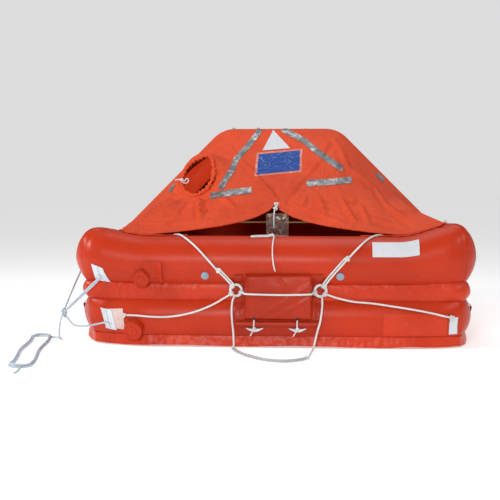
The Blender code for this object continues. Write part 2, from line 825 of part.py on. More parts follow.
# Free cords: the ladder, the canopy tie, the entrance line and the painter
LADDER_R = 0.005
RUNG_R = 0.0085
LADDER_LEFT = ((-0.187, -1.0142, 0.2600), (-0.198, -1.0260, 0.238), (-0.2025, -1.031, 0.19),
               (-0.200, -1.033, 0.14), (-0.194, -1.036, 0.08), (-0.191, -1.044, 0.035),
               (-0.189, -1.066, 0.0085), (-0.188, -1.1068, 0.0088))
RUNG = ((-0.1876, -1.109, 0.0088), (-0.155, -1.195, 0.0088), (-0.107, -1.283, 0.0088),
        (-0.021, -1.385, 0.0088), (0.0636, -1.418, 0.0088), (0.1275, -1.395, 0.0088),
        (0.1732, -1.345, 0.0088))
LADDER_RIGHT = ((0.1750, -1.3412, 0.0087), (0.186, -1.28, 0.0054), (0.193, -1.20, 0.0054),
                (0.200, -1.13, 0.0060), (0.207, -1.082, 0.0140), (0.216, -1.062, 0.050),
                (0.228, -1.0595, 0.100), (0.236, -1.0590, 0.1255), (0.243, -1.048, 0.160),
                (0.248, -1.036, 0.20), (0.249, -1.026, 0.235), (0.2474, -1.0142, 0.2605))
TIE = ((0.0076, -0.6495, 0.7047), (0.0050, -0.668, 0.700), (0.002, -0.690, 0.693),
       (-0.003, -0.7065, 0.676), (-0.006, -0.7090, 0.64), (-0.006, -0.7085, 0.585))
ENTRANCE_LINE = ((0.015, -1.0257, 0.3850), (0.007, -1.0291, 0.4158), (0.001, -1.0205, 0.4646),
                 (0.000, -0.9925, 0.5112), (0.003, -0.9534, 0.5417), (0.004, -0.9200, 0.5545),
                 (-0.012, -0.9060, 0.5574), (-0.055, -0.9050, 0.5575), (-0.098, -0.9120, 0.5565),
                 (-0.112, -0.9240, 0.5539), (-0.098, -0.9320, 0.5517), (-0.055, -0.9260, 0.5536),
                 (-0.020, -0.9260, 0.5536))


def free_cords():
    rope("ladder_line_left", smooth_route(LADDER_LEFT, 0.014), LADDER_R, resolution=2)
    rope("ladder_line_right", smooth_route(LADDER_RIGHT, 0.016), LADDER_R, resolution=2)
    rope("ladder_rung", smooth_route(RUNG, 0.030), RUNG_R, "rung_vinyl", 2)
    rope("canopy_tie", smooth_route(TIE, 0.012), 0.004, resolution=2)
    rope("entrance_line", smooth_route(ENTRANCE_LINE, 0.012), 0.0035, resolution=2)


KNOT = Vector((-1.055, -1.020, 0.170))
KNOT_R = 0.0145
BRIDLE_UPPER = ((-0.880, -0.9912, 0.3364), (-0.899, -0.9970, 0.3165), (-0.945, -1.0120, 0.272),
                (-1.005, -1.022, 0.215), (-1.0444, -1.0207, 0.1806))
BRIDLE_LOWER = ((-0.848, -0.9874, 0.118), (-0.895, -0.9885, 0.108), (-0.955, -1.012, 0.100),
                (-1.005, -1.022, 0.108), (-1.035, -1.021, 0.140), (-1.0477, -1.020, 0.1569))
PAINTER_LEAD = ((-1.0664, -1.0151, 0.1594), (-1.085, -0.985, 0.115), (-1.100, -0.945, 0.070),
                (-1.112, -0.900, 0.032), (-1.120, -0.855, 0.0085), (-1.128, -0.818, 0.0052),
                (-1.1490, -0.7935, 0.0052), (-1.1707, -0.7950, 0.0052))
HANK_START = Vector((-1.238, -0.775, 0.0))
HANK_END = Vector((-1.118, -1.585, 0.0))
HANK_WIDE = 0.125
HANK_TALL = 0.026
PAINTER_TAIL = ((-1.1000, -1.6452, 0.0052), (-1.094, -1.672, 0.0052), (-1.090, -1.70, 0.0052),
                (-1.088, -1.74, 0.0052), (-1.090, -1.775, 0.0052))


def painter():
    rope("painter_bridle_upper", smooth_route(BRIDLE_UPPER, 0.014), PAINTER_R, resolution=2)
    rope("painter_bridle_lower", smooth_route(BRIDLE_LOWER, 0.014), PAINTER_R, resolution=2)
    rope("painter_lead", smooth_route(PAINTER_LEAD, 0.014), PAINTER_R, resolution=2)
    rope("painter_tail", smooth_route(PAINTER_TAIL, 0.014), PAINTER_R, resolution=2)
    rings = []
    for k in range(1, 6):
        tilt = math.pi * k / 6
        level = KNOT + Vector((0, 0, KNOT_R * math.cos(tilt)))
        wide = KNOT_R * math.sin(tilt)
        rings.append([level + Vector((wide * math.cos(math.pi * m / 5), wide * math.sin(math.pi * m / 5), 0))
                      for m in range(10)])
    sweep("painter_knot", rings, "white_rope")
    run = (HANK_END - HANK_START).normalized()
    across = Vector((-run.y, run.x, 0))
    radius = HANK_WIDE / 2
    loops = []
    for z in (GAP, HANK_TALL):
        loop = []
        for end, start_turn in ((HANK_START, 90), (HANK_END, -90)):
            for k in range(9):
                turn = math.radians(start_turn + 180 * k / 8)
                loop.append(end + run * (radius * math.cos(turn)) + across * (radius * math.sin(turn))
                            + Vector((0, 0, z)))
        loops.append(loop)
    sweep("painter_hank", loops, "white_rope")


# Clear pouch inside the entrance

def clear_pouch():
    low = Vector((-0.047, -0.7040, 0.500))
    high = Vector((0.072, -0.7000, 0.664))
    loops = []
    for y in (low.y, high.y):
        loops.append([Vector((low.x, y, low.z)), Vector((high.x, y, low.z)),
                      Vector((high.x, y, high.z)), Vector((low.x, y, high.z))])
    sweep("clear_pouch", loops, "clear_vinyl")


def build():
    clear_scene()
    buoyancy_tubes()
    ring_round("connecting_strip", strip_profile, "tube_fabric")
    ring_round("skirt", skirt_profile, "tube_fabric", SKIRT_STATIONS)
    raft_floor()
    arch_tube()
    front = canopy_sheet("canopy_front", True, False)
    canopy_sheet("canopy_back", False, True)
    port(front)
    capacity_placard()
    plates_and_patches()
    valves_and_plugs()
    valve_hood()
    boarding_pouch()
    pouch_bar_and_panel()
    toggles()
    flat_rings()
    held_lines()
    free_cords()
    painter()
    clear_pouch()


build()
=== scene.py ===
import math

import bmesh
import bpy
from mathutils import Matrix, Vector, noise
from mathutils.bvhtree import BVHTree


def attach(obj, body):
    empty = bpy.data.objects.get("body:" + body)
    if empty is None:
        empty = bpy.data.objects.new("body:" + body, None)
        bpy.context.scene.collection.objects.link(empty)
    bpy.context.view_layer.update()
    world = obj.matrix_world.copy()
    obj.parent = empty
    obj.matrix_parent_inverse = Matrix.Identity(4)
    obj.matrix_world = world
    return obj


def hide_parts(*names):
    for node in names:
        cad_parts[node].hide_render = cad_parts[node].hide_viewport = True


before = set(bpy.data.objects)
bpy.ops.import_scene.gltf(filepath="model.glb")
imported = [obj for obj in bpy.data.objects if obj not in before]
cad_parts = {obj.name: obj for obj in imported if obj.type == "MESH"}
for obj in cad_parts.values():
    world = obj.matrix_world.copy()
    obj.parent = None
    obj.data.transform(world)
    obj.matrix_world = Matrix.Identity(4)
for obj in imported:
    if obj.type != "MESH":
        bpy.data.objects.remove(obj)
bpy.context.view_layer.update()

# Driving sizes of the raft, in metres. The entrance faces -Y
SIDE = 2.05
TUBE_R = 0.1385
HALF = SIDE / 2
AXIS = HALF - TUBE_R
LOWER_Z = TUBE_R
UPPER_Z = 3 * TUBE_R + 0.0003
TOP_Z = UPPER_Z + TUBE_R
VALLEY_Z = 2 * TUBE_R
CORNER_ROUND = 0.17
CORNER_REACH = 0.40
# Width of the zone at a corner's outside where its shape is full
CORNER_FULL = 0.06
# Columns: side in X, side in Y, how far the foot is drawn in, how high the top curls up.
# The front left corner curls 10 mm less than the solids'
CORNERS = {
    (-1, -1): (0.062, 0.050),
    (1, -1): (0.036, 0.080),
    (-1, 1): (0.050, 0.045),
    (1, 1): (0.050, 0.050),
}
SIDES = ("front", "right", "back", "left")

# The canopy's arch
ARCH_R = 0.075
ARCH_TOP_Z = 1.060
ARCH_HALF_RIDGE = 0.308
ARCH_BEND = 0.10
ARCH_LEG = 0.705
ARC_LENGTH = ARCH_BEND * math.pi / 4
RIDGE_STRAIGHT = ARCH_HALF_RIDGE - ARCH_BEND * math.tan(math.pi / 8)
SHOULDER = RIDGE_STRAIGHT + ARC_LENGTH
ARCH_HALF_LENGTH = SHOULDER + ARCH_LEG
ARCH_RIDGE_Z = ARCH_TOP_Z + ARCH_R

ROPE_R = 0.005
PAINTER_R = 0.0048


# Sums

def clamp(value, low=0.0, high=1.0):
    return max(low, min(high, value))


def smooth(value):
    value = clamp(value)
    return value * value * (3 - 2 * value)


def bell(value, width):
    return math.exp(-(value / width) ** 2)


def between(table, value):
    """Read a two-column table at a value, straight between its rows."""
    for (x0, y0), (x1, y1) in zip(table, table[1:]):
        if value <= x1:
            return y0 + (y1 - y0) * clamp((value - x0) / (x1 - x0))
    return table[-1][1]


def ripple(x, y=0.0, z=0.0):
    """Smooth noise, from about -1 to 1."""
    return noise.noise(Vector((x, y, z)))


# The tubes' shape

def settle(x, y, z):
    """Carry a point of square tubes to the shape that their corners take."""
    sx = -1 if x < 0 else 1
    sy = -1 if y < 0 else 1
    ax, ay = abs(x), abs(y)
    corner = smooth((min(ax, ay) - (HALF - CORNER_REACH)) / (CORNER_REACH - CORNER_FULL))
    start = HALF - CORNER_ROUND
    u = max(0.0, (ax - start) / CORNER_ROUND)
    v = max(0.0, (ay - start) / CORNER_ROUND)
    if u > 0 and v > 0:
        ax = start + CORNER_ROUND * u * math.sqrt(1 - v * v / 2)
        ay = start + CORNER_ROUND * v * math.sqrt(1 - u * u / 2)
    high = clamp((z - VALLEY_Z) / (TOP_Z - VALLEY_Z))
    low = clamp(1 - z / UPPER_Z)
    foot_in, top_rise = CORNERS[(sx, sy)]
    draw_in = foot_in * corner * low
    return Vector((sx * (ax - draw_in), sy * (ay - draw_in), z + top_rise * corner * high))


def wall(side, along, out, z):
    """A point on one side: along it, out from the tubes' centre line, and up."""
    reach = AXIS + out
    places = {
        "front": (along, -reach),
        "right": (reach, along),
        "back": (-along, reach),
        "left": (-reach, -along),
    }
    return settle(*places[side], z)


def skin(centre_z, angle_deg, lift):
    """Out and up of a point above a tube's skin."""
    angle = math.radians(angle_deg)
    return (TUBE_R + lift) * math.cos(angle), centre_z + (TUBE_R + lift) * math.sin(angle)


def on_tube(side, along, centre_z, angle_deg, lift):
    out, z = skin(centre_z, angle_deg, lift)
    return wall(side, along, out, z)


# Shader sums and nodes

class Finish:
    """A material, and the nodes that give it its look."""

    def __init__(self, name):
        self.material = bpy.data.materials.new(name)
        self.material.use_nodes = True
        self.tree = self.material.node_tree
        self.surface = self.tree.nodes["Principled BSDF"]

    def feed(self, socket, value):
        """Link a socket to a sum, or give it a plain value."""
        if isinstance(value, Paint):
            self.tree.links.new(value.socket, socket)
        else:
            socket.default_value = value

    def node(self, kind, settings=None, inputs=None, output=0):
        """Add a node: its settings first, then the values or links of its sockets."""
        made = self.tree.nodes.new(kind)
        for key, value in (settings or {}).items():
            setattr(made, key, value)
        for key, value in (inputs or {}).items():
            self.feed(made.inputs[key], value)
        return Paint(self, made.outputs[output])

    def set(self, **values):
        """Set or link the shader's own sockets. An underscore in a name stands for a space."""
        for key, value in values.items():
            self.feed(self.surface.inputs[key.replace("_", " ")], value)

    def place(self, scale=(1.0, 1.0, 1.0)):
        """Object coordinates, stretched."""
        here = self.node("ShaderNodeTexCoord", output="Object")
        return self.node("ShaderNodeMapping", inputs={"Vector": here, "Scale": scale})

    def cloud(self, scale, detail=3.0, rough=0.55, stretch=(1.0, 1.0, 1.0), distort=0.0):
        """Soft noise from 0 to 1."""
        return self.node("ShaderNodeTexNoise", inputs={
            "Vector": self.place(stretch), "Scale": scale, "Detail": detail, "Roughness": rough,
            "Distortion": distort})

    def creases(self, scale, stretch=(1.0, 1.0, 1.0), distort=0.6):
        """Sharp folds from noise: bright lines where the noise crosses its middle."""
        soft = self.cloud(scale, 2.0, 0.5, stretch, distort)
        fold = (soft - 0.5).size() * 3.2
        return 1.0 - fold.limit()

    def mix(self, share, low, high):
        """Two colours, mixed by a share."""
        return self.node("ShaderNodeMix", {"data_type": "RGBA"}, {0: share, 6: low, 7: high}, 2)

    def bump(self, height, strength, distance):
        normal = self.node("ShaderNodeBump", inputs={
            "Height": height, "Strength": strength, "Distance": distance})
        self.set(Normal=normal)


class Paint:
    """One output of a finish's nodes. A sum on it adds the node that works it out."""

    def __init__(self, finish, socket):
        self.finish = finish
        self.socket = socket

    def math(self, operation, *values, clamp_it=False):
        return self.finish.node("ShaderNodeMath", {"operation": operation, "use_clamp": clamp_it},
                                dict(enumerate(values)))

    def __add__(self, other):
        return self.math("ADD", self, other)

    __radd__ = __add__

    def __sub__(self, other):
        return self.math("SUBTRACT", self, other)

    def __rsub__(self, other):
        return self.math("SUBTRACT", other, self)

    def __mul__(self, other):
        return self.math("MULTIPLY", self, other)

    def size(self):
        return self.math("ABSOLUTE", self)

    def limit(self):
        return self.math("ADD", self, 0.0, clamp_it=True)

    def over(self, low, high):
        """0 below low, 1 above high, and straight between them."""
        return self.math("MULTIPLY", self - low, 1.0 / (high - low), clamp_it=True)


def rgb(red, green, blue):
    return (red, green, blue, 1.0)


# Finishes

def coated_fabric(name, colour, dark, chalk_and_highlight, wrinkles, painted_glow=0.0):
    """Rubber-coated fabric: a fine weave, pale pinkish spots that are partly chalky scuffs and partly painted
    highlight, and shallow wrinkles.
    """
    finish = Finish(name)
    large = finish.cloud(2.6, 3.0)
    scuff_and_highlight = finish.cloud(11.0, 5.0, 0.65, distort=0.8).over(0.55, 0.78)
    rubbed = finish.cloud(46.0, 3.0).over(0.50, 0.85)
    base = finish.mix(large.over(0.30, 0.72), rgb(*dark), rgb(*colour))
    # Pale pinkish spots: partly chalky scuffs, partly painted highlight.
    base = finish.mix(scuff_and_highlight * rubbed * chalk_and_highlight, base, rgb(0.66, 0.16, 0.10))
    weave = finish.cloud(900.0, 1.0)
    folds = finish.creases(5.5, (1.0, 1.0, 1.6), 1.0)
    fine = finish.creases(21.0, (1.0, 1.0, 1.3), 1.2)
    height = folds * 0.55 * wrinkles + fine * 0.22 * wrinkles + large * 0.5 + weave * 0.03
    finish.set(Base_Color=base, Roughness=0.36 + scuff_and_highlight * 0.18 + rubbed * 0.06)
    finish.set(Coat_Weight=0.04, Coat_Roughness=0.24, Specular_IOR_Level=0.20)
    # Painted light: a finish given a strength here glows, though it is no lamp.
    finish.set(Emission_Color=base, Emission_Strength=painted_glow)
    finish.bump(height, 0.60, 0.004)
    return finish.material


def canopy_cloth():
    """Thin coated cloth: many small creases, and a plain weave. Its colour holds painted highlights along the
    long folds and painted shade in the short ones.
    """
    finish = Finish("canopy_cloth_orange")
    large = finish.cloud(3.2, 4.0)
    base = finish.mix(large.over(0.30, 0.70), rgb(0.53, 0.045, 0.009), rgb(0.66, 0.063, 0.014))
    long_folds = finish.creases(6.5, (1.0, 0.8, 0.55), 1.6)
    short_folds = finish.creases(17.0, (1.0, 1.0, 0.8), 1.4)
    crush = finish.creases(48.0, distort=1.0)
    thread_x, thread_z = (finish.node("ShaderNodeTexWave", {"bands_direction": way},
                                      {"Vector": finish.place(), "Scale": 260.0, "Distortion": 0.4})
                          for way in "XZ")
    # Painted highlight: lighter colour along the long folds.
    base = finish.mix(long_folds * 0.22, base, rgb(0.74, 0.088, 0.028))
    # Painted shade: darker colour in patches of the short folds.
    base = finish.mix(short_folds * finish.cloud(5.0).over(0.50, 0.75) * 0.30, base, rgb(0.36, 0.026, 0.006))
    height = long_folds * 0.8 + short_folds * 0.35 + crush * 0.12 + (thread_x + thread_z) * 0.02
    finish.set(Base_Color=base, Roughness=0.56 + large * 0.10)
    finish.set(Specular_IOR_Level=0.24)
    finish.bump(height, 0.80, 0.008)
    return finish.material


def silver_tape():
    """Reflective tape: grey beads under a crinkled film, with painted glints on its crinkles."""
    finish = Finish("silver_tape")
    beads = finish.cloud(420.0, 2.0)
    crinkle = finish.creases(70.0, (1.0, 1.0, 1.0), 2.0)
    # Painted highlight: near-white glints on the crinkles, mixed into the colour.
    painted_glint = (crinkle.over(0.80, 0.98)) * finish.cloud(24.0, 3.0).over(0.48, 0.62)
    worn = finish.cloud(14.0, 3.0).over(0.40, 0.65)
    base = finish.mix(worn, rgb(0.115, 0.118, 0.125), rgb(0.20, 0.205, 0.215))
    base = finish.mix(painted_glint, base, rgb(0.85, 0.86, 0.88))
    finish.set(Base_Color=base, Roughness=0.42 - painted_glint * 0.2, Metallic=0.35)
    finish.bump(crinkle * 0.7 + beads * 0.1, 0.7, 0.002)
    return finish.material


def rope_finish(name, light, shade, painted_glow=0.0):
    """Braided line: painted shade from fine noise, as if in the strands' valleys, and a little grime."""
    finish = Finish(name)
    grime = finish.cloud(18.0, 4.0).over(0.35, 0.75)
    fibre = finish.cloud(700.0, 2.0)
    # The darker colour is partly grime and partly painted shade in the strands' valleys.
    base = finish.mix(grime * 0.6 + fibre * 0.25, rgb(*light), rgb(*shade))
    # Painted light: a finish given a strength here glows, though it is no lamp.
    finish.set(Base_Color=base, Roughness=0.78, Emission_Color=base, Emission_Strength=painted_glow)
    finish.bump(fibre, 0.4, 0.001)
    return finish.material


def moulded(name, colour, mark, roughness):
    """Moulded plastic: fine grain, and rubbed marks."""
    finish = Finish(name)
    marks = finish.cloud(60.0, 4.0, 0.6, distort=1.0).over(0.52, 0.75)
    grain = finish.cloud(800.0, 1.0)
    base = finish.mix(marks * 0.6, rgb(*colour), rgb(*mark))
    finish.set(Base_Color=base, Roughness=roughness + marks * 0.15)
    finish.bump(grain, 0.12, 0.0006)
    return finish.material


def printed_film(name, colour, worn_colour, wear):
    """Printed film with cracked, rubbed patches along its creases."""
    finish = Finish(name)
    crease = finish.creases(13.0, distort=1.2).over(0.93, 0.995)
    rub = finish.cloud(30.0, 4.0, 0.6, distort=1.0).over(0.66, 0.74)
    grime = finish.cloud(9.0, 3.0).over(0.40, 0.75)
    base = finish.mix(grime * 0.25, rgb(*colour), rgb(*[0.75 * c for c in colour]))
    base = finish.mix((crease * 0.8 + rub * 0.5).limit() * wear, base, rgb(*worn_colour))
    finish.set(Base_Color=base, Roughness=0.48 + rub * 0.2, Specular_IOR_Level=0.15)
    finish.bump(crease * 0.4 + grime * 0.3, 0.4, 0.002)
    return finish.material


def clear_film(name, tint, alpha, roughness):
    """See-through film, crinkled, cloudier along its creases."""
    finish = Finish(name)
    crinkle = finish.creases(14.0, distort=1.6)
    cloudy = finish.cloud(9.0, 4.0)
    finish.set(Base_Color=finish.mix(crinkle.over(0.90, 1.0) * 0.5, rgb(*tint), rgb(0.62, 0.56, 0.52)))
    finish.set(Roughness=roughness, Alpha=alpha + cloudy * 0.15 + crinkle.over(0.92, 1.0) * 0.15)
    finish.bump(crinkle, 0.5, 0.003)
    return finish.material


def pale_studio():
    finish = Finish("studio_white")
    finish.set(Base_Color=finish.mix(finish.cloud(0.7, 2.0) * 0.15, rgb(0.90, 0.90, 0.90),
                                     rgb(0.87, 0.87, 0.88)), Roughness=0.85)
    finish.set(Emission_Color=rgb(1.0, 1.0, 1.0), Emission_Strength=0.42)
    return finish.material


TUBE = coated_fabric("tube_orange", (0.50, 0.031, 0.005), (0.41, 0.024, 0.004), 0.42, 0.35)
WRINKLED = coated_fabric("wrinkled_orange", (0.60, 0.044, 0.012), (0.42, 0.026, 0.006), 0.70, 1.3)
POUCH = coated_fabric("pouch_orange", (0.40, 0.025, 0.005), (0.32, 0.018, 0.004), 0.18, 0.7)
# Painted light: the arch glows, so that it shows bright through the port.
ARCH = coated_fabric("arch_orange_painted_glow", (0.58, 0.042, 0.012), (0.50, 0.034, 0.010), 0.30, 0.3, 0.80)
FLOOR = coated_fabric("floor_black", (0.045, 0.045, 0.05), (0.022, 0.022, 0.025), 0.0, 1.0)
CANOPY = canopy_cloth()
TAPE = silver_tape()
ROPE = rope_finish("rope_white", (0.68, 0.68, 0.67), (0.46, 0.46, 0.45))
PAINTER = rope_finish("painter_bluish_white", (0.50, 0.57, 0.64), (0.32, 0.38, 0.45))
# Painted light: the lacing glows a little, so that it shows bright in the shaded inside.
LACING = rope_finish("lacing_straw_painted_glow", (0.60, 0.46, 0.20), (0.34, 0.25, 0.12), 0.35)
WHITE_PLASTIC = moulded("white_plastic", (0.64, 0.66, 0.68), (0.46, 0.48, 0.51), 0.38)
GREY_PLASTIC = moulded("grey_blue_plastic", (0.26, 0.32, 0.39), (0.15, 0.19, 0.24), 0.42)
BLACK_THREAD = moulded("black_thread", (0.02, 0.02, 0.025), (0.05, 0.05, 0.05), 0.7)
BLUE_SIGN = printed_film("sign_blue", (0.007, 0.050, 0.26), (0.45, 0.52, 0.66), 0.30)
PALE_SIGN = printed_film("sign_pale_border", (0.58, 0.17, 0.13), (0.66, 0.60, 0.60), 1.0)
WHITE_FILM = printed_film("plate_white", (0.57, 0.59, 0.62), (0.42, 0.42, 0.44), 0.30)
PATCH_WHITE = printed_film("patch_white", (0.60, 0.65, 0.70), (0.42, 0.45, 0.48), 0.45)
PATCH_PINK = printed_film("patch_pinkish_white", (0.62, 0.48, 0.45), (0.56, 0.32, 0.27), 0.6)
VINYL = clear_film("clear_vinyl_brown", (0.17, 0.095, 0.07), 0.42, 0.16)
RUNG_VINYL = clear_film("clear_vinyl_grey", (0.30, 0.32, 0.36), 0.34, 0.12)


# Making pieces

def start_clean():
    """Select nothing."""
    bpy.ops.object.select_all(action="DESELECT")


def only(piece):
    """Select one piece and make it the active one."""
    start_clean()
    piece.select_set(True)
    bpy.context.view_layer.objects.active = piece


def primitive(operator, **settings):
    """Add one ready-made mesh."""
    start_clean()
    operator(**settings)
    return bpy.context.active_object


def finish_piece(piece, name, material, replaced=(), angle=45.0):
    """Name a made piece, give it its finish, fix its place, and let it ride on the raft."""
    only(piece)
    bpy.ops.object.transform_apply(location=True, rotation=True, scale=True)
    piece.name = name
    piece.data.name = name
    piece.data.materials.clear()
    piece.data.materials.append(material)
    bpy.ops.object.shade_smooth_by_angle(angle=math.radians(angle))
    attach(piece, "root")
    if replaced:
        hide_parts(*replaced)
    return piece


def modify(piece, kind, **settings):
    """Give a piece one modifier, and apply it."""
    added = piece.modifiers.new(kind.lower(), kind)
    for key, value in settings.items():
        setattr(added, key, value)
    only(piece)
    bpy.ops.object.modifier_apply(modifier=added.name)
    return piece


def thicken(piece, thickness, offset=0.0):
    """Thicken a piece: to both sides, or to the side that the offset says."""
    return modify(piece, "SOLIDIFY", thickness=thickness, offset=offset)


def edit(piece, *steps):
    """Run operators on the whole of a piece's mesh. A step holds an operator and its settings."""
    only(piece)
    bpy.ops.object.mode_set(mode="EDIT")
    bpy.ops.mesh.select_all(action="SELECT")
    for operator, settings in steps:
        operator(**settings)
    bpy.ops.object.mode_set(mode="OBJECT")
    return piece


def tidy_normals(piece, merge=0.00005):
    """Weld points that fall together, and turn the faces outward."""
    return edit(piece, (bpy.ops.mesh.remove_doubles, {"threshold": merge}),
                (bpy.ops.mesh.normals_make_consistent, {"inside": False}))


def join(pieces):
    start_clean()
    for piece in pieces:
        piece.select_set(True)
    bpy.context.view_layer.objects.active = pieces[0]
    if len(pieces) > 1:
        bpy.ops.object.join()
    return pieces[0]


def draped_grid(columns, rows, place):
    """A flat grid whose points are carried to their places. place takes shares from 0 to 1."""
    piece = primitive(bpy.ops.mesh.primitive_grid_add, x_subdivisions=columns, y_subdivisions=rows, size=2)
    for vertex in piece.data.vertices:
        vertex.co = place((vertex.co.x + 1) / 2, (vertex.co.y + 1) / 2)
    piece.data.update()
    return piece


def flat_piece(name, columns, rows, place, thick, material, replaced=(), angle=60):
    """A grid carried to its place, thickened to both sides and finished."""
    piece = thicken(draped_grid(columns, rows, place), thick)
    return finish_piece(piece, name, material, replaced, angle)


def long_tube(vertices, cuts, place):
    """An open cylinder cut into many lengths. place takes a share from -1 to 1 and an angle."""
    piece = primitive(bpy.ops.mesh.primitive_cylinder_add, vertices=vertices, radius=1, depth=2,
                      end_fill_type="NOTHING")
    only(piece)
    bpy.ops.object.mode_set(mode="EDIT")
    bpy.ops.mesh.select_all(action="DESELECT")
    shape = bmesh.from_edit_mesh(piece.data)
    for edge in shape.edges:
        edge.select = abs(edge.verts[0].co.z - edge.verts[1].co.z) > 1
    bmesh.update_edit_mesh(piece.data)
    bpy.ops.mesh.subdivide(number_cuts=cuts)
    bpy.ops.object.mode_set(mode="OBJECT")
    for vertex in piece.data.vertices:
        vertex.co = place(vertex.co.z, math.atan2(vertex.co.y, vertex.co.x))
    piece.data.update()
    return piece


def torus(major, minor, around, sides, **place):
    return primitive(bpy.ops.mesh.primitive_torus_add, major_radius=major, minor_radius=minor,
                     major_segments=around, minor_segments=sides, **place)


def eyelet(major, minor, centre):
    """A small ring that faces the front."""
    return torus(major, minor, 20, 8, rotation=(math.pi / 2, 0, 0), location=centre)


# Lines

# Points that a curve gets between two of its knots, that a tied knot has, and that one turn of line has
CURVE_STEPS = 24
KNOT_STEPS = 56
WRAP_STEPS = 16
STRAND_LAY = 0.030
STRANDS = 3


def length_of(route):
    return sum((b - a).length for a, b in zip(route, route[1:]))


def smooth_route(points, spacing):
    """Points at an even spacing on a smooth curve through the given ones."""
    knots = [Vector(p) for p in points]
    knots = [knots[0] * 2 - knots[1]] + knots + [knots[-1] * 2 - knots[-2]]
    fine = []
    for p0, p1, p2, p3 in zip(knots, knots[1:], knots[2:], knots[3:]):
        for i in range(CURVE_STEPS):
            t = i / CURVE_STEPS
            fine.append(0.5 * ((2 * p1) + (p2 - p0) * t + (2 * p0 - 5 * p1 + 4 * p2 - p3) * t * t
                               + (3 * p1 - p0 - 3 * p2 + p3) * t * t * t))
    fine.append(knots[-2])
    length = length_of(fine)
    count = max(2, round(length / spacing))
    step = length / count
    route = [fine[0]]
    run = 0.0
    for a, b in zip(fine, fine[1:]):
        piece = (b - a).length
        while len(route) < count and run + piece >= step * len(route):
            route.append(a + (b - a) * ((step * len(route) - run) / piece))
        run += piece
    route.append(fine[-1])
    return route


def laid_line(route, radius, sides=12, strands=STRANDS, closed=False, flat=1.0):
    """A line of twisted strands that follows a route, as a closed skin with round ends."""
    count = len(route)
    tangents = []
    for i in range(count):
        if closed:
            ahead, behind = route[(i + 1) % count], route[i - 1]
        else:
            ahead, behind = route[min(i + 1, count - 1)], route[max(i - 1, 0)]
        tangents.append((ahead - behind).normalized())
    across = tangents[0].orthogonal().normalized()
    verts = []
    run = 0.0
    for i, (point, tangent) in enumerate(zip(route, tangents)):
        across = (across - tangent * across.dot(tangent)).normalized()
        other = tangent.cross(across)
        if i:
            run += (point - route[i - 1]).length
        end = 1.0 if closed else min(1.0, 0.55 + min(i, count - 1 - i) * 0.25)
        for k in range(sides):
            turn = 2 * math.pi * k / sides
            groove = abs(math.sin(strands / 2 * (turn - 2 * math.pi * run / STRAND_LAY)))
            reach = radius * end * (0.90 + 0.14 * groove)
            verts.append(point + across * (reach * math.cos(turn)) + other * (reach * flat * math.sin(turn)))
    faces = []
    for i in range(count if closed else count - 1):
        j = (i + 1) % count
        for k in range(sides):
            m = (k + 1) % sides
            faces.append((i * sides + k, i * sides + m, j * sides + m, j * sides + k))
    if not closed:
        faces.append(tuple(reversed(range(sides))))
        faces.append(tuple(range((count - 1) * sides, count * sides)))
    mesh = bpy.data.meshes.new("line")
    mesh.from_pydata([tuple(v) for v in verts], [], faces)
    piece = bpy.data.objects.new("line", mesh)
    bpy.context.scene.collection.objects.link(piece)
    return piece


def axes(direction):
    """A direction, and two more that are square to it and to each other."""
    along = Vector(direction).normalized()
    across = along.orthogonal().normalized()
    return along, across, along.cross(across)


def overhand_knot(centre, radius, thick, axis, turn=0.0):
    """A small tied knot: a trefoil of line, seen along an axis."""
    along, across, other = axes(axis)
    route = []
    for k in range(KNOT_STEPS):
        t = 2 * math.pi * k / KNOT_STEPS
        x = (math.sin(t) + 2 * math.sin(2 * t)) / 3
        y = (math.cos(t) - 2 * math.cos(2 * t)) / 3
        z = -math.sin(3 * t) * 0.45
        spun_x = x * math.cos(turn) - y * math.sin(turn)
        spun_y = x * math.sin(turn) + y * math.cos(turn)
        route.append(Vector(centre) + across * (radius * spun_x) + other * (radius * spun_y)
                     + along * (radius * z))
    return laid_line(route, thick, sides=10, closed=True)


def tied_knots(name, material, rows, replaced=()):
    """Knots in one piece. Columns: centre, radius, radius of the line, axis, turn if there is one."""
    made = join([overhand_knot(*row) for row in rows])
    return finish_piece(made, name, material, replaced)


def wraps(centre, axis, radius, thick, turns, pitch, flat=1.0):
    """Turns of line wound round an axis."""
    along, across, other = axes(axis)
    steps = int(turns * WRAP_STEPS)
    route = []
    for k in range(steps + 1):
        t = 2 * math.pi * k / WRAP_STEPS
        rise = (k / steps - 0.5) * pitch * turns
        route.append(Vector(centre) + along * rise + across * (radius * math.cos(t))
                     + other * (radius * flat * math.sin(t)))
    return laid_line(route, thick, sides=10)


# Buoyancy tubes

LEVELS = {"lower": LOWER_Z, "upper": UPPER_Z}
# Dents. Columns: side, share along it, angle, half width as a share, half height in degrees, depth
CORNER_DENTS = (
    ("front", -0.955, 52, 0.012, 34, 0.0070),
    ("front", -0.925, 66, 0.010, 26, 0.0050),
    ("front", -0.900, 40, 0.014, 24, 0.0030),
    ("front", 0.930, 74, 0.010, 28, 0.0050),
    ("front", 0.960, 50, 0.012, 30, 0.0050),
    ("left", 0.950, 55, 0.012, 32, 0.0060),
    ("right", -0.950, 55, 0.012, 32, 0.0055),
    ("back", 0.950, 60, 0.014, 34, 0.0060),
    ("back", -0.950, 60, 0.014, 34, 0.0060),
    ("left", -0.950, 60, 0.014, 34, 0.0055),
    ("right", 0.950, 60, 0.014, 34, 0.0055),
)
PUCKER_LENGTH = 0.024


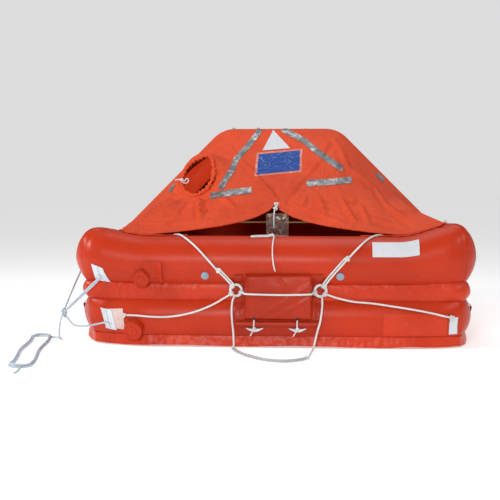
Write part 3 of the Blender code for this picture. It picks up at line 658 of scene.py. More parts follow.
def tube_relief(side, level, share, angle_deg):
    """How far a tube's skin stands in or out: puckers on its curled corners, dents and seams."""
    edge = abs(share)
    along = share * AXIS
    puckers = smooth((edge - 0.70) / 0.10) * smooth((0.97 - edge) / 0.05)
    top = bell(angle_deg - 98, 44) if level == "upper" else bell(angle_deg - 150, 30)
    depth = 0.0022 * puckers * top * (0.6 + 0.8 * abs(ripple(along * 9, 3.0)))
    wander = 0.01 * ripple(along * 14, angle_deg / 30)
    relief = depth * math.sin(2 * math.pi * (along + wander) / PUCKER_LENGTH)
    relief -= 0.0045 * bell((1 - edge) * AXIS, 0.012)
    relief += 0.0016 * ripple(along * 2.4 + 7, angle_deg / 60, 1.0 if level == "upper" else 5.0)
    if level == "upper":
        for dent_side, at, middle, wide, tall, deep in CORNER_DENTS:
            if side == dent_side:
                relief -= deep * bell(share - at, wide) * bell(angle_deg - middle, tall)
    return relief


def tube_length(side, level):
    centre_z = LEVELS[level]

    def place(share, turn):
        packed = math.copysign(1 - (1 - abs(share)) ** 1.3, share)
        angle_deg = (math.degrees(turn) + 90) % 360 - 90
        out, z = skin(centre_z, angle_deg, tube_relief(side, level, packed, angle_deg))
        return wall(side, packed * (AXIS + out), out, z)

    node = f"{level}_tube_{side}"
    finish_piece(tidy_normals(long_tube(56, 119, place)), f"{node}_skin", TUBE, [node], 60)


def seam_tapes():
    """Tapes welded over the mitred corners' seams."""
    tapes = []
    for level, centre_z in LEVELS.items():
        for side in SIDES:
            def place(u, v):
                share = 0.984 + 0.016 * u
                angle_deg = -72 + 252 * v
                lift = 0.0012 + tube_relief(side, level, share, angle_deg)
                out, z = skin(centre_z, angle_deg, lift)
                return wall(side, share * (AXIS + out), out, z)
            tapes.append(thicken(draped_grid(3, 40, place), 0.0012))
    finish_piece(tidy_normals(join(tapes)), "corner_seam_tapes", TUBE)


STRIP_HALF_DEG = 45
STRIP_RIPPLE = 0.0085
# How far the web stands out along the sides, and how much more where it spans a corner
STRIP_BULGE = 0.0055
CORNER_WEB = 0.026
BAND_THICK = 0.0022


def way_round(u):
    """Where a share of the way round the raft falls: number and name of the side, share along it."""
    index = min(3, int(u * 4))
    return index, SIDES[index], 2 * (u * 4 - index) - 1


def strip_place(u, v):
    """The slack web between the tubes, wrinkled aslant. u runs round all four sides."""
    index, side, share = way_round(u)
    top_out, top_z = skin(UPPER_Z, -STRIP_HALF_DEG, 0.0015)
    foot_out, foot_z = skin(LOWER_Z, STRIP_HALF_DEG, 0.0015)
    middle = math.sin(math.pi * v)
    along = share * AXIS
    lean = 0.030 + 0.050 * clamp(1.6 * ripple(along * 1.1 + index * 3.7), -1, 1)
    slant = along + lean * (v - 0.5)
    tight = 0.6 + 0.4 * ripple(along * 2.2, index * 3.1)
    folds = 0.45 - abs(ripple(slant * 24, v * 1.1, index))
    folds += 0.5 * (0.45 - abs(ripple(slant * 52 + v * 2, v * 2.4, index + 9)))
    tucks = STRIP_RIPPLE * tight * folds * min(1.0, 3.2 * middle)
    web = CORNER_WEB * smooth((abs(share) - 0.84) / 0.13)
    out = foot_out + (top_out - foot_out) * v + (STRIP_BULGE + web) * middle + tucks
    return wall(side, share * (AXIS + out), out, foot_z + (top_z - foot_z) * v)


def connecting_strip():
    band = thicken(tidy_normals(draped_grid(1600, 9, strip_place)), BAND_THICK, 1.0)
    finish_piece(band, "connecting_strip_web", WRINKLED, ["connecting_strip"], 75)
    beads = []
    for centre_z, angle in ((UPPER_Z, -STRIP_HALF_DEG), (LOWER_Z, STRIP_HALF_DEG)):
        for side in SIDES:
            route = [on_tube(side, (k / 90 - 1) * (AXIS + TUBE_R * 0.7), centre_z, angle, 0.0016)
                     for k in range(181)]
            beads.append(laid_line(route, 0.0024, sides=8, strands=0))
    finish_piece(join(beads), "strip_weld_edges", TUBE)


SKIRT_TOP_ANGLE = -36
SKIRT_FLARE = 0.020
SKIRT_GATHER = 0.0070


def skirt_place(u, v):
    """The skirt under the lower tube: gathered along its top, waving along its hem."""
    index, side, share = way_round(u)
    along = share * AXIS
    top_out, top_z = skin(LOWER_Z, SKIRT_TOP_ANGLE, 0.0012)
    swing = ripple(along * 3.6, index * 5.3) + 0.5 * ripple(along * 9.0, index * 2.1 + 4)
    swing *= smooth((1 - abs(share)) / 0.06)
    down = 1 - v
    loose = 0.5 + 0.5 * ripple(along * 2.1, index + 4)
    gather = SKIRT_GATHER * (0.40 - abs(ripple(along * 16, down * 0.9, index))) * loose
    gather += 0.0030 * ripple(along * 44, down * 2.0, index + 2)
    out = top_out + SKIRT_FLARE * (0.62 * down + 0.30 * down * swing) + gather * min(1.0, 5 * down)
    foot_z = 0.0075 + 0.0070 * clamp(swing, -1, 1)
    return wall(side, share * (AXIS + out), out, top_z + (foot_z - top_z) * down)


def skirt():
    band = thicken(tidy_normals(draped_grid(1400, 7, skirt_place)), BAND_THICK, 1.0)
    finish_piece(band, "skirt_cloth", WRINKLED, ["skirt"], 75)


def buoyancy():
    for level in LEVELS:
        for side in SIDES:
            tube_length(side, level)
    seam_tapes()
    connecting_strip()
    skirt()
    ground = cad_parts["floor"]
    ground.data.materials.clear()
    ground.data.materials.append(FLOOR)


# Arch and canopy

def arch_frame(distance):
    """Centre and outward direction of the arch, at a distance from the ridge's middle."""
    side = -1 if distance < 0 else 1
    d = abs(distance)
    if d <= RIDGE_STRAIGHT:
        return Vector((side * d, 0, ARCH_TOP_Z)), Vector((0, 0, 1))
    turn = min((d - RIDGE_STRAIGHT) / ARCH_BEND, math.pi / 4)
    normal = Vector((side * math.sin(turn), 0, math.cos(turn)))
    hub = Vector((side * RIDGE_STRAIGHT, 0, ARCH_TOP_Z - ARCH_BEND))
    leg = max(0.0, d - SHOULDER)
    return hub + normal * ARCH_BEND + Vector((side, 0, -1)) * (leg / math.sqrt(2)), normal


def arch_tube():
    reach = ARCH_HALF_LENGTH + 0.02

    def place(share, turn):
        centre, normal = arch_frame(share * reach)
        swell = ARCH_R + 0.0012 * ripple(share * 9, turn)
        return centre + normal * (swell * math.cos(turn)) + Vector((0, swell * math.sin(turn), 0))

    arch = tidy_normals(long_tube(32, 89, place))
    finish_piece(arch, "arch_tube_skin", ARCH, ["arch_tube"])


# Columns: distance along the arch from the ridge's middle, distance along the hem from its middle
HEM_OF_ARCH = ((0.0, 0.0), (0.345, 0.45), (0.68, 0.85), (1.05, 1.64))
HEM_CORNER = 0.85
# Columns: run back from the front corner, out from the tube's centre line
SIDE_HEM = {
    -1: ((0.0, -0.096), (0.10, -0.080), (0.30, -0.045), (0.50, -0.010), (0.79, 0.045)),
    1: ((0.0, -0.018), (0.10, -0.022), (0.30, -0.018), (0.50, -0.005), (0.79, 0.045)),
}
# How far in the front hem's ends are drawn. Below nought, let out
HEM_DRAWN = {-1: 0.058, 1: -0.020}
# How far the right slope is drawn in between the arch and the hem
RIGHT_SLOPE_DRAWN = 0.045
# Columns: distance from the entrance tie, how high the hem is lifted there
HEM_LIFT = ((0.0, 0.157), (0.03, 0.122), (0.10, 0.088), (0.18, 0.064), (0.28, 0.044),
            (0.40, 0.028), (0.50, 0.016), (0.65, 0.004), (0.80, 0.0))
# How far the hem lies off the tubes, and how much more over their curled corners
HEM_LIE = 0.0006
HEM_CORNER_LIE = 0.0012
CANOPY_SLOPE = 0.6576
# How far round the arch the sheet lies on it, and the share of its grid's rows that this takes
CROWN_WRAP = math.radians(35)
WRAP_SHARE = 0.08
SHEET_R = ARCH_R + 0.0008
SHEET_SAG = 0.018
SHEET_THICK = 0.003
# The way that folds stand up out of the sheet
SHEET_FACE = Vector((0, -0.55, 0.83))
# Creases seen from the front. Columns: from x, from z, to x, to z, width, height
FRONT_CREASES = (
    (0.034, 0.712, 0.161, 0.860, 0.010, 0.0150),
    (0.161, 0.860, 0.239, 0.947, 0.010, 0.0130),
    (0.239, 0.947, 0.292, 1.070, 0.010, 0.0100),
    (0.018, 0.712, -0.093, 0.834, 0.010, 0.0180),
    (-0.093, 0.834, -0.219, 0.952, 0.009, 0.0120),
    (-0.219, 0.952, -0.320, 1.075, 0.009, 0.0060),
    (-0.340, 1.080, -0.329, 0.949, 0.007, 0.0080),
    (-0.329, 0.949, -0.334, 0.805, 0.007, 0.0070),
    (-0.416, 0.745, -0.391, 0.630, 0.011, 0.0280),
    (-0.391, 0.690, -0.330, 0.720, 0.011, 0.0170),
    (-0.400, 0.680, -0.480, 0.655, 0.012, 0.0200),
    (-0.480, 0.730, -0.540, 0.640, 0.013, 0.0170),
    (-0.300, 0.745, -0.215, 0.690, 0.011, 0.0180),
    (-0.230, 0.740, -0.120, 0.750, 0.010, 0.0080),
    (-0.330, 0.660, -0.180, 0.660, 0.009, 0.0100),
    (0.300, 1.090, 0.354, 1.006, 0.012, 0.0120),
    (0.354, 1.006, 0.401, 0.890, 0.012, 0.0150),
    (0.401, 0.890, 0.552, 0.794, 0.012, 0.0160),
    (0.552, 0.794, 0.614, 0.712, 0.013, 0.0150),
    (0.614, 0.712, 0.728, 0.617, 0.013, 0.0140),
    (0.300, 1.080, 0.215, 0.960, 0.014, 0.0090),
    (0.226, 0.745, 0.266, 0.650, 0.010, 0.0180),
    (0.165, 0.750, 0.135, 0.690, 0.010, 0.0110),
    (0.345, 0.745, 0.378, 0.683, 0.010, 0.0180),
    (0.378, 0.683, 0.417, 0.618, 0.010, 0.0200),
    (0.417, 0.618, 0.385, 0.590, 0.009, 0.0130),
    (0.422, 0.735, 0.388, 0.700, 0.010, 0.0110),
    (0.300, 0.800, 0.360, 0.760, 0.014, 0.0090),
    (0.450, 0.700, 0.490, 0.610, 0.011, 0.0120),
    (0.034, 0.706, 0.123, 0.672, 0.007, 0.0120),
    (0.040, 0.716, 0.282, 0.640, 0.009, 0.0110),
    (0.123, 0.690, 0.420, 0.596, 0.008, 0.0110),
    (-0.020, 0.706, -0.135, 0.656, 0.007, 0.0120),
    (-0.040, 0.716, -0.270, 0.670, 0.009, 0.0110),
    (-0.135, 0.676, -0.456, 0.590, 0.008, 0.0100),
    (-0.440, 0.592, -0.768, 0.592, 0.005, 0.0090),
    (-0.440, 0.612, -0.768, 0.606, 0.006, 0.0080),
    (-0.600, 0.740, -0.740, 0.610, 0.013, 0.0160),
    (-0.540, 0.760, -0.620, 0.640, 0.013, 0.0140),
    (0.120, 1.090, 0.170, 1.020, 0.010, 0.0070),
    (-0.120, 1.100, -0.190, 1.020, 0.010, 0.0070),
    (0.480, 0.640, 0.700, 0.590, 0.008, 0.0100),
)
# The same for the back, seen from the front through it
BACK_CREASES = (
    (-0.338, 1.085, -0.520, 0.800, 0.016, 0.0080),
    (-0.520, 0.800, -0.790, 0.610, 0.018, 0.0080),
    (0.325, 1.085, 0.520, 0.800, 0.016, 0.0080),
    (0.520, 0.800, 0.790, 0.610, 0.018, 0.0080),
    (-0.300, 0.760, -0.260, 0.620, 0.016, 0.0070),
    (0.260, 0.780, 0.300, 0.620, 0.016, 0.0070),
    (-0.050, 0.800, 0.020, 0.600, 0.018, 0.0050),
    (0.080, 1.060, 0.240, 0.820, 0.016, 0.0050),
    (-0.120, 1.060, -0.220, 0.860, 0.016, 0.0050),
)


def hem_point(distance, entrance):
    """Where the canopy's edge lies on the tubes, at a distance from its side's middle."""
    side = -1 if distance < 0 else 1
    b = abs(distance)
    lie = HEM_LIE + HEM_CORNER_LIE * smooth((b - 0.50) / 0.25) * smooth((1.35 - b) / 0.30)
    if b <= HEM_CORNER:
        lift = between(HEM_LIFT, b) if entrance else 0.0
        place = wall("front", side * (b - HEM_DRAWN[side] * smooth((b - 0.5) / 0.35)), 0.0, TOP_Z)
        return place + Vector((0, lift / CANOPY_SLOPE, lift + lie))
    share = b - HEM_CORNER
    out = between(SIDE_HEM[side], share)
    up = math.sqrt(TUBE_R ** 2 - out ** 2)
    back = -HEM_CORNER - 0.01 + share
    place = wall("right" if side > 0 else "left", side * back, out, UPPER_Z + up)
    return place + Vector((0, 0, lie))


def crease_height(table, x, z):
    total = 0.0
    for x0, z0, x1, z1, width, height in table:
        dx, dz = x1 - x0, z1 - z0
        share = clamp(((x - x0) * dx + (z - z0) * dz) / (dx * dx + dz * dz))
        off = math.hypot(x - x0 - dx * share, z - z0 - dz * share)
        if off < 4 * width:
            fade = min(1.0, 3.5 * share, 3.5 * (1 - share)) * 0.8 + 0.2
            crest = math.exp(-off / (0.8 * width))
            total += height * fade * (crest - 0.40 * bell(off - 2.0 * width, width))
    return total


PORT_DISTANCE = -0.38
PORT_ROW = 0.40
PORT_HALF_WIDE = 0.108
PORT_HALF_TALL = 0.125
# The gathered port stands up towards the front: its lean, and how far it stands out of the sheet
PORT_LEAN = math.tan(math.radians(23))
PORT_STAND = 0.015
# Width of the cloth round the port that is drawn out with it
PORT_EDGE = 0.012
RIM_R = 0.0112
RIM_PUCKERS = 25


def crown_point(distance, turn):
    """A point of the sheet where it lies over the arch, at a turn from the arch's outermost line."""
    centre, normal = arch_frame(distance)
    return centre + normal * (SHEET_R * math.cos(turn)) + Vector((0, -SHEET_R * math.sin(turn), 0))


def hem_below(distance, entrance):
    """The hem's point that belongs to a distance along the arch."""
    return hem_point(math.copysign(between(HEM_OF_ARCH, abs(distance)), distance), entrance)


def port_frame():
    """Middle of the port, its outward direction, and its upward direction."""
    start = crown_point(PORT_DISTANCE, CROWN_WRAP)
    hem = hem_below(PORT_DISTANCE, True)
    middle = start.lerp(hem, PORT_ROW)
    near = PORT_DISTANCE - 0.05
    beside = crown_point(near, CROWN_WRAP).lerp(hem_below(near, True), PORT_ROW)
    down = (hem - start).normalized()
    normal = down.cross(beside - middle).normalized()
    if normal.y > 0:
        normal = -normal
    middle.z -= SHEET_SAG * math.sin(math.pi * PORT_ROW)
    return middle, normal, -down


def port_edge(turn, grow, height):
    """A point on the port's outline, which is drawn to a blunt point at its upper right."""
    middle, normal, upward = PORT
    across = upward.cross(normal).normalized()
    point = 1 + 0.22 * bell((math.degrees(turn) % 360) - 50, 22)
    wide = (PORT_HALF_WIDE + grow) * math.cos(turn) * point
    tall = (PORT_HALF_TALL + grow) * math.sin(turn) * point
    return middle + across * wide + (upward + normal * PORT_LEAN) * tall + normal * (PORT_STAND + height)


def port_swell(point):
    """How the sheet is drawn out and tilted round the port."""
    middle, normal, upward = PORT
    across = upward.cross(normal).normalized()
    away = point - middle
    wide, tall = away.dot(across), away.dot(upward)
    ring = math.hypot(wide / (PORT_HALF_WIDE + PORT_EDGE), tall / (PORT_HALF_TALL + PORT_EDGE))
    share = 1 - smooth((ring - 1.0) / (1.0 if tall < 0 else 0.62))
    return normal * ((tall * PORT_LEAN + PORT_STAND) * share)


PORT = port_frame()


def crumple(x, z, entrance):
    """Crushed cloth: short straight folds of several sizes that cross one another."""
    seed = 3.0 if entrance else 17.0
    warp_x = x + 0.10 * ripple(x * 3.1, z * 3.1, seed)
    warp_z = z + 0.10 * ripple(x * 3.1, z * 3.1, seed + 5)
    total = 0.0
    for size, height in ((3.6, 0.0130), (8.0, 0.0085), (19.0, 0.0034)):
        total += height * (0.30 - abs(ripple(warp_x * size, warp_z * size * 0.75, seed + size)))
    return total


def sheet_place(u, v, entrance):
    """The canopy's sheet: over the arch's crown, then down its slope to the hem."""
    distance = (2 * u - 1) * ARCH_HALF_LENGTH
    if v <= WRAP_SHARE:
        point = crown_point(distance, CROWN_WRAP * v / WRAP_SHARE)
        point.y -= 0.0004 * (1 - v / WRAP_SHARE)
        return point
    row = (v - WRAP_SHARE) / (1 - WRAP_SHARE)
    start = crown_point(distance, CROWN_WRAP)
    hem = hem_below(distance, entrance)
    point = start.lerp(hem, row)
    length = (hem - start).length
    point.z -= SHEET_SAG * math.sin(math.pi * row) * min(1.0, length / 0.6)
    loose = math.sin(math.pi * row) ** 0.6 * min(1.0, length / 0.4)
    table = FRONT_CREASES if entrance else BACK_CREASES
    folds = crease_height(table, point.x, point.z) * min(1.0, 5 * row) * min(1.0, 0.25 + 7 * (1 - row))
    seed = 0.0 if entrance else 7.0
    soft = 0.0050 * ripple(point.x * 4.5, row * 3.2, 2.0 + seed)
    soft += 0.0022 * ripple(point.x * 13 + row * 4, row * 9, 4.0 + seed)
    if entrance and distance < 0:
        point = point + port_swell(point)
    if entrance and distance > 0:
        slack = smooth((distance - 0.42) / 0.22) * (1 - smooth((distance - 0.88) / 0.15))
        point.x -= RIGHT_SLOPE_DRAWN * slack * math.sin(math.pi * row ** 1.2)
    return point + SHEET_FACE * (folds + (soft + crumple(point.x, point.z, entrance)) * loose)


def port_cutter():
    """A solid that fills the port, to cut its hole."""
    cutter = primitive(bpy.ops.mesh.primitive_cylinder_add, vertices=64, radius=1, depth=0.14)
    for vertex in cutter.data.vertices:
        x, y, z = vertex.co
        vertex.co = port_edge(math.atan2(y, x), 0.0, z)
    cutter.data.update()
    return tidy_normals(cutter)


def canopy_sheet(name, node, entrance):
    """The front sheet with its entrance and port, or the back sheet, which is its mirrored form."""
    def place(u, v):
        point = sheet_place(u, v, entrance)
        if not entrance:
            point.y = -point.y
        return point

    sheet = draped_grid(280, 112, place)
    if not entrance:
        edit(sheet, (bpy.ops.mesh.flip_normals, {}))
    thicken(sheet, SHEET_THICK, 1.0 if sheet.data.polygons[0].normal.z > 0 else -1.0)
    tidy_normals(sheet, 0.00001)
    if entrance:
        cutter = port_cutter()
        modify(sheet, "BOOLEAN", operation="DIFFERENCE", object=cutter)
        bpy.data.objects.remove(cutter, do_unlink=True)
    return finish_piece(sheet, name, CANOPY, [node], 80)


HEM_STEPS = 300


def hem_roll(name, entrance):
    """The canopy's edge, rolled and stitched, bunched where the tie gathers it."""
    route = []
    for k in range(HEM_STEPS + 1):
        point = sheet_place(k / HEM_STEPS, 1.0, entrance) + Vector((0, 0.003, 0.0035))
        if not entrance:
            point.y = -point.y
        route.append(point)
    roll = laid_line(route, 0.0048, sides=10, strands=0)
    if entrance:
        for vertex in roll.data.vertices:
            near = bell(vertex.co.x, 0.10)
            gather = 0.0020 * near * math.sin(vertex.co.x * 420)
            vertex.co.z += gather + 0.004 * near * (1 if vertex.co.z > 0.72 else 0)
    finish_piece(roll, name, CANOPY, angle=70)


def hem_bands():
    """The canopy's lower edge, folded flat and glued along the top of the front tube."""
    # Columns: side, inner end, outer end
    for side, inner, outer in (("left", -0.44, -0.77), ("right", 0.44, 0.85)):
        def place(u, v):
            along = inner + (outer - inner) * u
            wide = 11.5 * smooth(u / 0.45) * (0.85 + 0.15 * ripple(along * 9))
            ridge = 0.0035 * bell(v - 0.55, 0.10) + 0.0025 * bell(v - 0.95, 0.08)
            pucker = 0.0016 * ripple(along * 30, v * 2) * smooth(u / 0.2)
            return on_tube("front", along, UPPER_Z, 91.5 - wide * v, 0.0016 + ridge + pucker)

        flat_piece(f"canopy_hem_band_{side}", 150, 18, place, 0.0014, CANOPY, angle=70)


# The port's drawcord, from its corner
DRAWCORD = (
    (-0.030, -0.004, 0.010), (-0.014, -0.006, 0.014), (0.000, -0.008, 0.012), (0.014, -0.010, 0.004),
    (0.028, -0.012, 0.010), (0.040, -0.012, 0.020), (0.048, -0.010, 0.010), (0.040, -0.012, -0.004),
    (0.026, -0.014, -0.006), (0.010, -0.014, 0.002),
)
DRAWCORD_R = 0.0034


def port_rim():
    """Cloth gathered over a cord into a puckered roll round the port."""
    normal = PORT[1]

    def place(share, turn):
        round_it = math.pi * share
        grow = -0.006 + 0.0040 * ripple(math.cos(round_it) * 2.1, math.sin(round_it) * 2.1)
        centre = port_edge(round_it, grow, 0.004)
        outward = (port_edge(round_it, grow + 0.01, 0.004) - centre).normalized()
        gathers = 0.36 * math.sin(RIM_PUCKERS * round_it + 3.0 * ripple(round_it * 5))
        radius = RIM_R * (1 + (gathers + 0.22 * ripple(round_it * 11, turn)))
        return centre + outward * (radius * math.cos(turn)) + normal * (radius * 0.92 * math.sin(turn))

    rim = tidy_normals(long_tube(14, 259, place), 0.0004)
    finish_piece(rim, "port_rim_gathered", CANOPY, ["port_rim"], 80)
    corner = port_edge(math.pi * 1.04, -0.004, 0.020)
    reach = (port_edge(0, 0, 0.020) - corner).normalized()
    cord = laid_line(smooth_route([corner + Vector(p) for p in DRAWCORD], 0.003), DRAWCORD_R, sides=8)
    knot = overhand_knot(corner + reach * 0.010 + Vector((0, -0.012, 0.008)), 0.008, DRAWCORD_R, (0, -1, 0.3))
    finish_piece(join([cord, knot]), "port_drawcord", ROPE)


def lay_on(piece, target, lift):
    """Press a flat piece onto a target, as seen from the front. What is past its edge goes round it."""
    shape = bmesh.new()
    shape.from_mesh(target.data)
    tree = BVHTree.FromBMesh(shape)
    way = Vector((0, 1, 0))
    for vertex in piece.data.vertices:
        hit, normal, _, _ = tree.ray_cast(vertex.co - way * 2, way)
        if hit is None or hit.y > -0.004:
            x, _, z = vertex.co
            hit, normal, _, _ = tree.find_nearest(Vector((x, 0.9 * max(0.0, z - ARCH_RIDGE_Z), z)))
        if normal.z < 0:
            normal = -normal
        vertex.co = hit + normal * lift
    shape.free()
    piece.data.update()
    return piece


TAPE_WIDE = 0.034
EDGE_TAPE_WIDE = 0.026
# Thickness of tapes and signs, and a plane in front of the raft from which they are laid on
FILM_THICK = 0.0008
FRONT_Y = -1.5
# Tapes on the front sheet. Columns: x and z of each point of the middle line
FRONT_TAPES = {
    "tape_left_slant": ((-0.114, 1.130), (-0.184, 1.027), (-0.238, 0.956), (-0.257, 0.887), (-0.311, 0.790)),
    "tape_right_slant": ((0.016, 1.134), (0.145, 1.063), (0.235, 0.987), (0.362, 0.896)),
    "tape_left_level": ((-0.362, 0.752), (-0.252, 0.768), (-0.136, 0.782)),
    "tape_right_level": ((0.164, 0.819), (0.294, 0.826), (0.410, 0.838)),
    "tape_left_edge": ((-0.598, 0.815), (-0.612, 0.768)),
    "tape_right_edge": ((0.565, 0.872), (0.602, 0.832)),
}


def strip_outline(points, wide, u, v):
    """A point of a band that follows a bent middle line, in a plane in front of the raft."""
    knots = [Vector((x, FRONT_Y, z)) for x, z in points]
    run = u * length_of(knots)
    for a, b in zip(knots, knots[1:]):
        step = (b - a).length
        if run <= step or b is knots[-1]:
            along = (b - a).normalized()
            across = Vector((-along.z, 0, along.x))
            return a + along * run + across * ((v - 0.5) * wide)
        run -= step
    return knots[-1]


def tapes(sheet):
    made = []
    for name, points in FRONT_TAPES.items():
        wide = EDGE_TAPE_WIDE if "edge" in name else TAPE_WIDE

        def place(u, v):
            point = strip_outline(points, wide, u, v)
            point.z += 0.0012 * ripple(point.x * 60, v * 2)
            return point

        tape = lay_on(draped_grid(56, 6, place), sheet, 0.0016)
        for vertex in tape.data.vertices:
            x, _, z = vertex.co
            vertex.co += Vector((0, -0.6, 0.8)) * (0.0008 * abs(ripple(x * 90, z * 90)))
        made.append(thicken(tape, FILM_THICK))
    finish_piece(join(made), "reflective_tapes", TAPE, angle=70)


# The sign: left, right, low and high. Its border's width at the sides, and at top and foot
PLACARD = (-0.126, 0.135, 0.868, 1.003)
PLACARD_TILT = 0.040
BORDER = (0.013, 0.010)


def film_on(sheet, columns, rows, place, lift):
    """A thin film laid on the front sheet."""
    return thicken(lay_on(draped_grid(columns, rows, place), sheet, lift), FILM_THICK)


def signs(sheet):
    """A blank blue sign with a pale border, and a bare white three-cornered patch above it."""
    left, right, low, high = PLACARD

    def inside(border_x, border_z):
        def place(u, v):
            x = left + border_x + (right - left - 2 * border_x) * u
            z = low + border_z + (high - low - 2 * border_z) * v + PLACARD_TILT * (u - 0.5) * 0.6
            return Vector((x, FRONT_Y, z))
        return place

    def place_patch(u, v):
        half = 0.078 * (1 - v) + 0.0015
        z = 1.012 + 0.112 * v + 0.013 * (u - 0.5)
        return Vector((-0.014 - 0.028 * v + (2 * u - 1) * half, FRONT_Y, z))

    border = film_on(sheet, 36, 20, inside(0.0, 0.0), 0.0012)
    finish_piece(border, "placard_border", PALE_SIGN, ["capacity_placard"], 70)
    blue = film_on(sheet, 36, 20, inside(*BORDER), 0.0022)
    finish_piece(blue, "placard_blue", BLUE_SIGN, angle=70)
    patch = film_on(sheet, 18, 18, place_patch, 0.0016)
    finish_piece(patch, "three_cornered_patch", WHITE_FILM, angle=70)


def small_loop(steps, radius, sides, place):
    """A closed loop of plain line. place takes an angle."""
    route = [place(2 * math.pi * k / steps) for k in range(steps)]
    return laid_line(route, radius, sides=sides, strands=0, closed=True)


def ridge_loops():
    """Small tie loops on the ridge, and two at the canopy's right foot."""
    dark, pale, white = [], [], []
    for x, group in ((-0.275, dark), (-0.128, dark), (0.150, pale)):
        group.append(small_loop(14, 0.0020, 6, lambda t: Vector((
            x + 0.007 * math.cos(t), -0.004, 1.138 + 0.006 * math.sin(t)))))
    foot = sheet_place(0.815, 0.995, True)
    for tilt in (0.2, 0.9):
        white.append(small_loop(18, 0.0026, 7, lambda t: foot + Vector((
            0.022 + 0.014 * math.cos(t), 0.020 + 0.010 * tilt * math.sin(t),
            0.004 + 0.017 * math.sin(t + tilt)))))
    finish_piece(join(white), "foot_loops", ROPE)
    finish_piece(join(dark), "ridge_loops_dark", BLACK_THREAD)
    finish_piece(join(pale), "ridge_loop_straw", LACING)


def canopy():
    arch_tube()
    front = canopy_sheet("canopy_front_cloth", "canopy_front", True)
    back = canopy_sheet("canopy_back_cloth", "canopy_back", False)
    hem_roll("canopy_front_hem", True)
    hem_roll("canopy_back_hem", False)
    hem_bands()
    port_rim()
    tapes(front)
    signs(front)
    ridge_loops()


# Boarding pouch

POUCH_DEEP = 0.165
POUCH_LEFT = -0.193
POUCH_RIGHT = 0.253
POUCH_FOOT_Z = 0.144
POUCH_TOP_Z = 0.364
# The rolled bar at the pouch's foot, and the panel welded below it
BAR_MIDDLE = 0.029
BAR_HALF = 0.216
BAR_R = 0.0115
BAR_OUT = 0.1521
BAR_Z = 0.1242
PANEL_LEFT = -0.187
PANEL_WIDE = 0.409
PANEL_TOP_DEG = -2
PANEL_DROP_DEG = 28


def pouch_seat(z):
    """How far out the tubes and the strip stand at a height."""
    reach = 0.1050 if 0.215 < z < 0.345 else 0.0
    for centre in (LOWER_Z, UPPER_Z):
        rise = abs(z - centre)
        if rise < TUBE_R:
            reach = max(reach, math.sqrt(TUBE_R ** 2 - rise ** 2))
    return reach + 0.0025


def pouch_place(u, v):
    """The pouch's front: flat wings at its sides, a full middle, and slack folds."""
    along = POUCH_LEFT + (POUCH_RIGHT - POUCH_LEFT) * u
    top = POUCH_TOP_Z + 0.006 * u + 0.003 * ripple(u * 9, 5)
    z = POUCH_FOOT_Z + (top - POUCH_FOOT_Z) * v
    full = smooth((along + 0.143) / 0.016) * smooth((0.204 - along) / 0.016)
    ends = smooth(v / 0.05) * smooth((1 - v) / 0.04)
    thin = pouch_seat(z) + 0.003 * smooth(u / 0.01) * smooth((1 - u) / 0.01)
    front = POUCH_DEEP * (0.955 + 0.045 * math.sin(math.pi * v))
    depth = thin + (max(thin, front) - thin) * full * ends
    folds = 0.0045 * bell((along - 0.02) * 0.62 - (z - 0.215), 0.012)
    folds += 0.0035 * bell((along - 0.06) * 0.55 - (z - 0.185), 0.010)
    folds += 0.0050 * bell(along + 0.128, 0.006) * (0.5 + v)
    folds += 0.0030 * bell((along - 0.155) + (z - 0.20) * 0.8, 0.010)
    folds += 0.0025 * ripple(along * 15, z * 18)
    side_folds = 0.004 * ripple(along * 60, z * 14) * (1 - full)
    return wall("front", along, depth + folds * full * ends + side_folds * ends, z)


def pouch():
    front = tidy_normals(thicken(draped_grid(110, 60, pouch_place), 0.0025))
    finish_piece(front, "boarding_pouch_cloth", POUCH, ["boarding_pouch"], 70)

    def bar_place(share, turn):
        along = BAR_MIDDLE + BAR_HALF * share
        end = smooth((1 - abs(share)) / 0.02)
        radius = BAR_R * (0.35 + 0.65 * end) * (1 + 0.08 * ripple(along * 30, turn))
        return wall("front", along, BAR_OUT + radius * math.cos(turn), BAR_Z + radius * math.sin(turn))

    bar = tidy_normals(long_tube(16, 60, bar_place))
    only(bar)
    bpy.ops.object.mode_set(mode="EDIT")
    bpy.ops.mesh.select_all(action="DESELECT")
    bpy.ops.mesh.select_mode(type="EDGE")
    bpy.ops.mesh.select_non_manifold()
    bpy.ops.mesh.edge_face_add()
    bpy.ops.object.mode_set(mode="OBJECT")
    finish_piece(bar, "pouch_bar_roll", POUCH, ["pouch_bar"], 60)

    def panel_place(u, v):
        along = PANEL_LEFT + PANEL_WIDE * u
        angle = PANEL_TOP_DEG - PANEL_DROP_DEG * v
        seam = 0.0010 * bell(along - 0.020, 0.003)
        lift = 0.0022 + seam + 0.0012 * abs(ripple(along * 22, v * 3))
        return on_tube("front", along, LOWER_Z, angle, lift)

    flat_piece("pouch_lower_panel", 70, 14, panel_place, 0.0022, POUCH, ["pouch_panel"])


TOGGLES = (("left", -0.088), ("right", 0.127))
# The toggles' cords, from the pouch's eyelet down. Columns: along from the middle, out, up
TOGGLE_STRAP = ((0.000, 0.168, 0.1460), (-0.001, 0.172, 0.1380), (-0.002, 0.170, 0.1240),
                (-0.002, 0.1605, 0.1100), (-0.001, 0.1560, 0.1010), (0.000, 0.1555, 0.0940))
TOGGLE_TAIL = ((0.001, 0.1560, 0.0980), (-0.006, 0.1585, 0.0880), (-0.015, 0.1565, 0.0740),
               (-0.022, 0.1520, 0.0620))


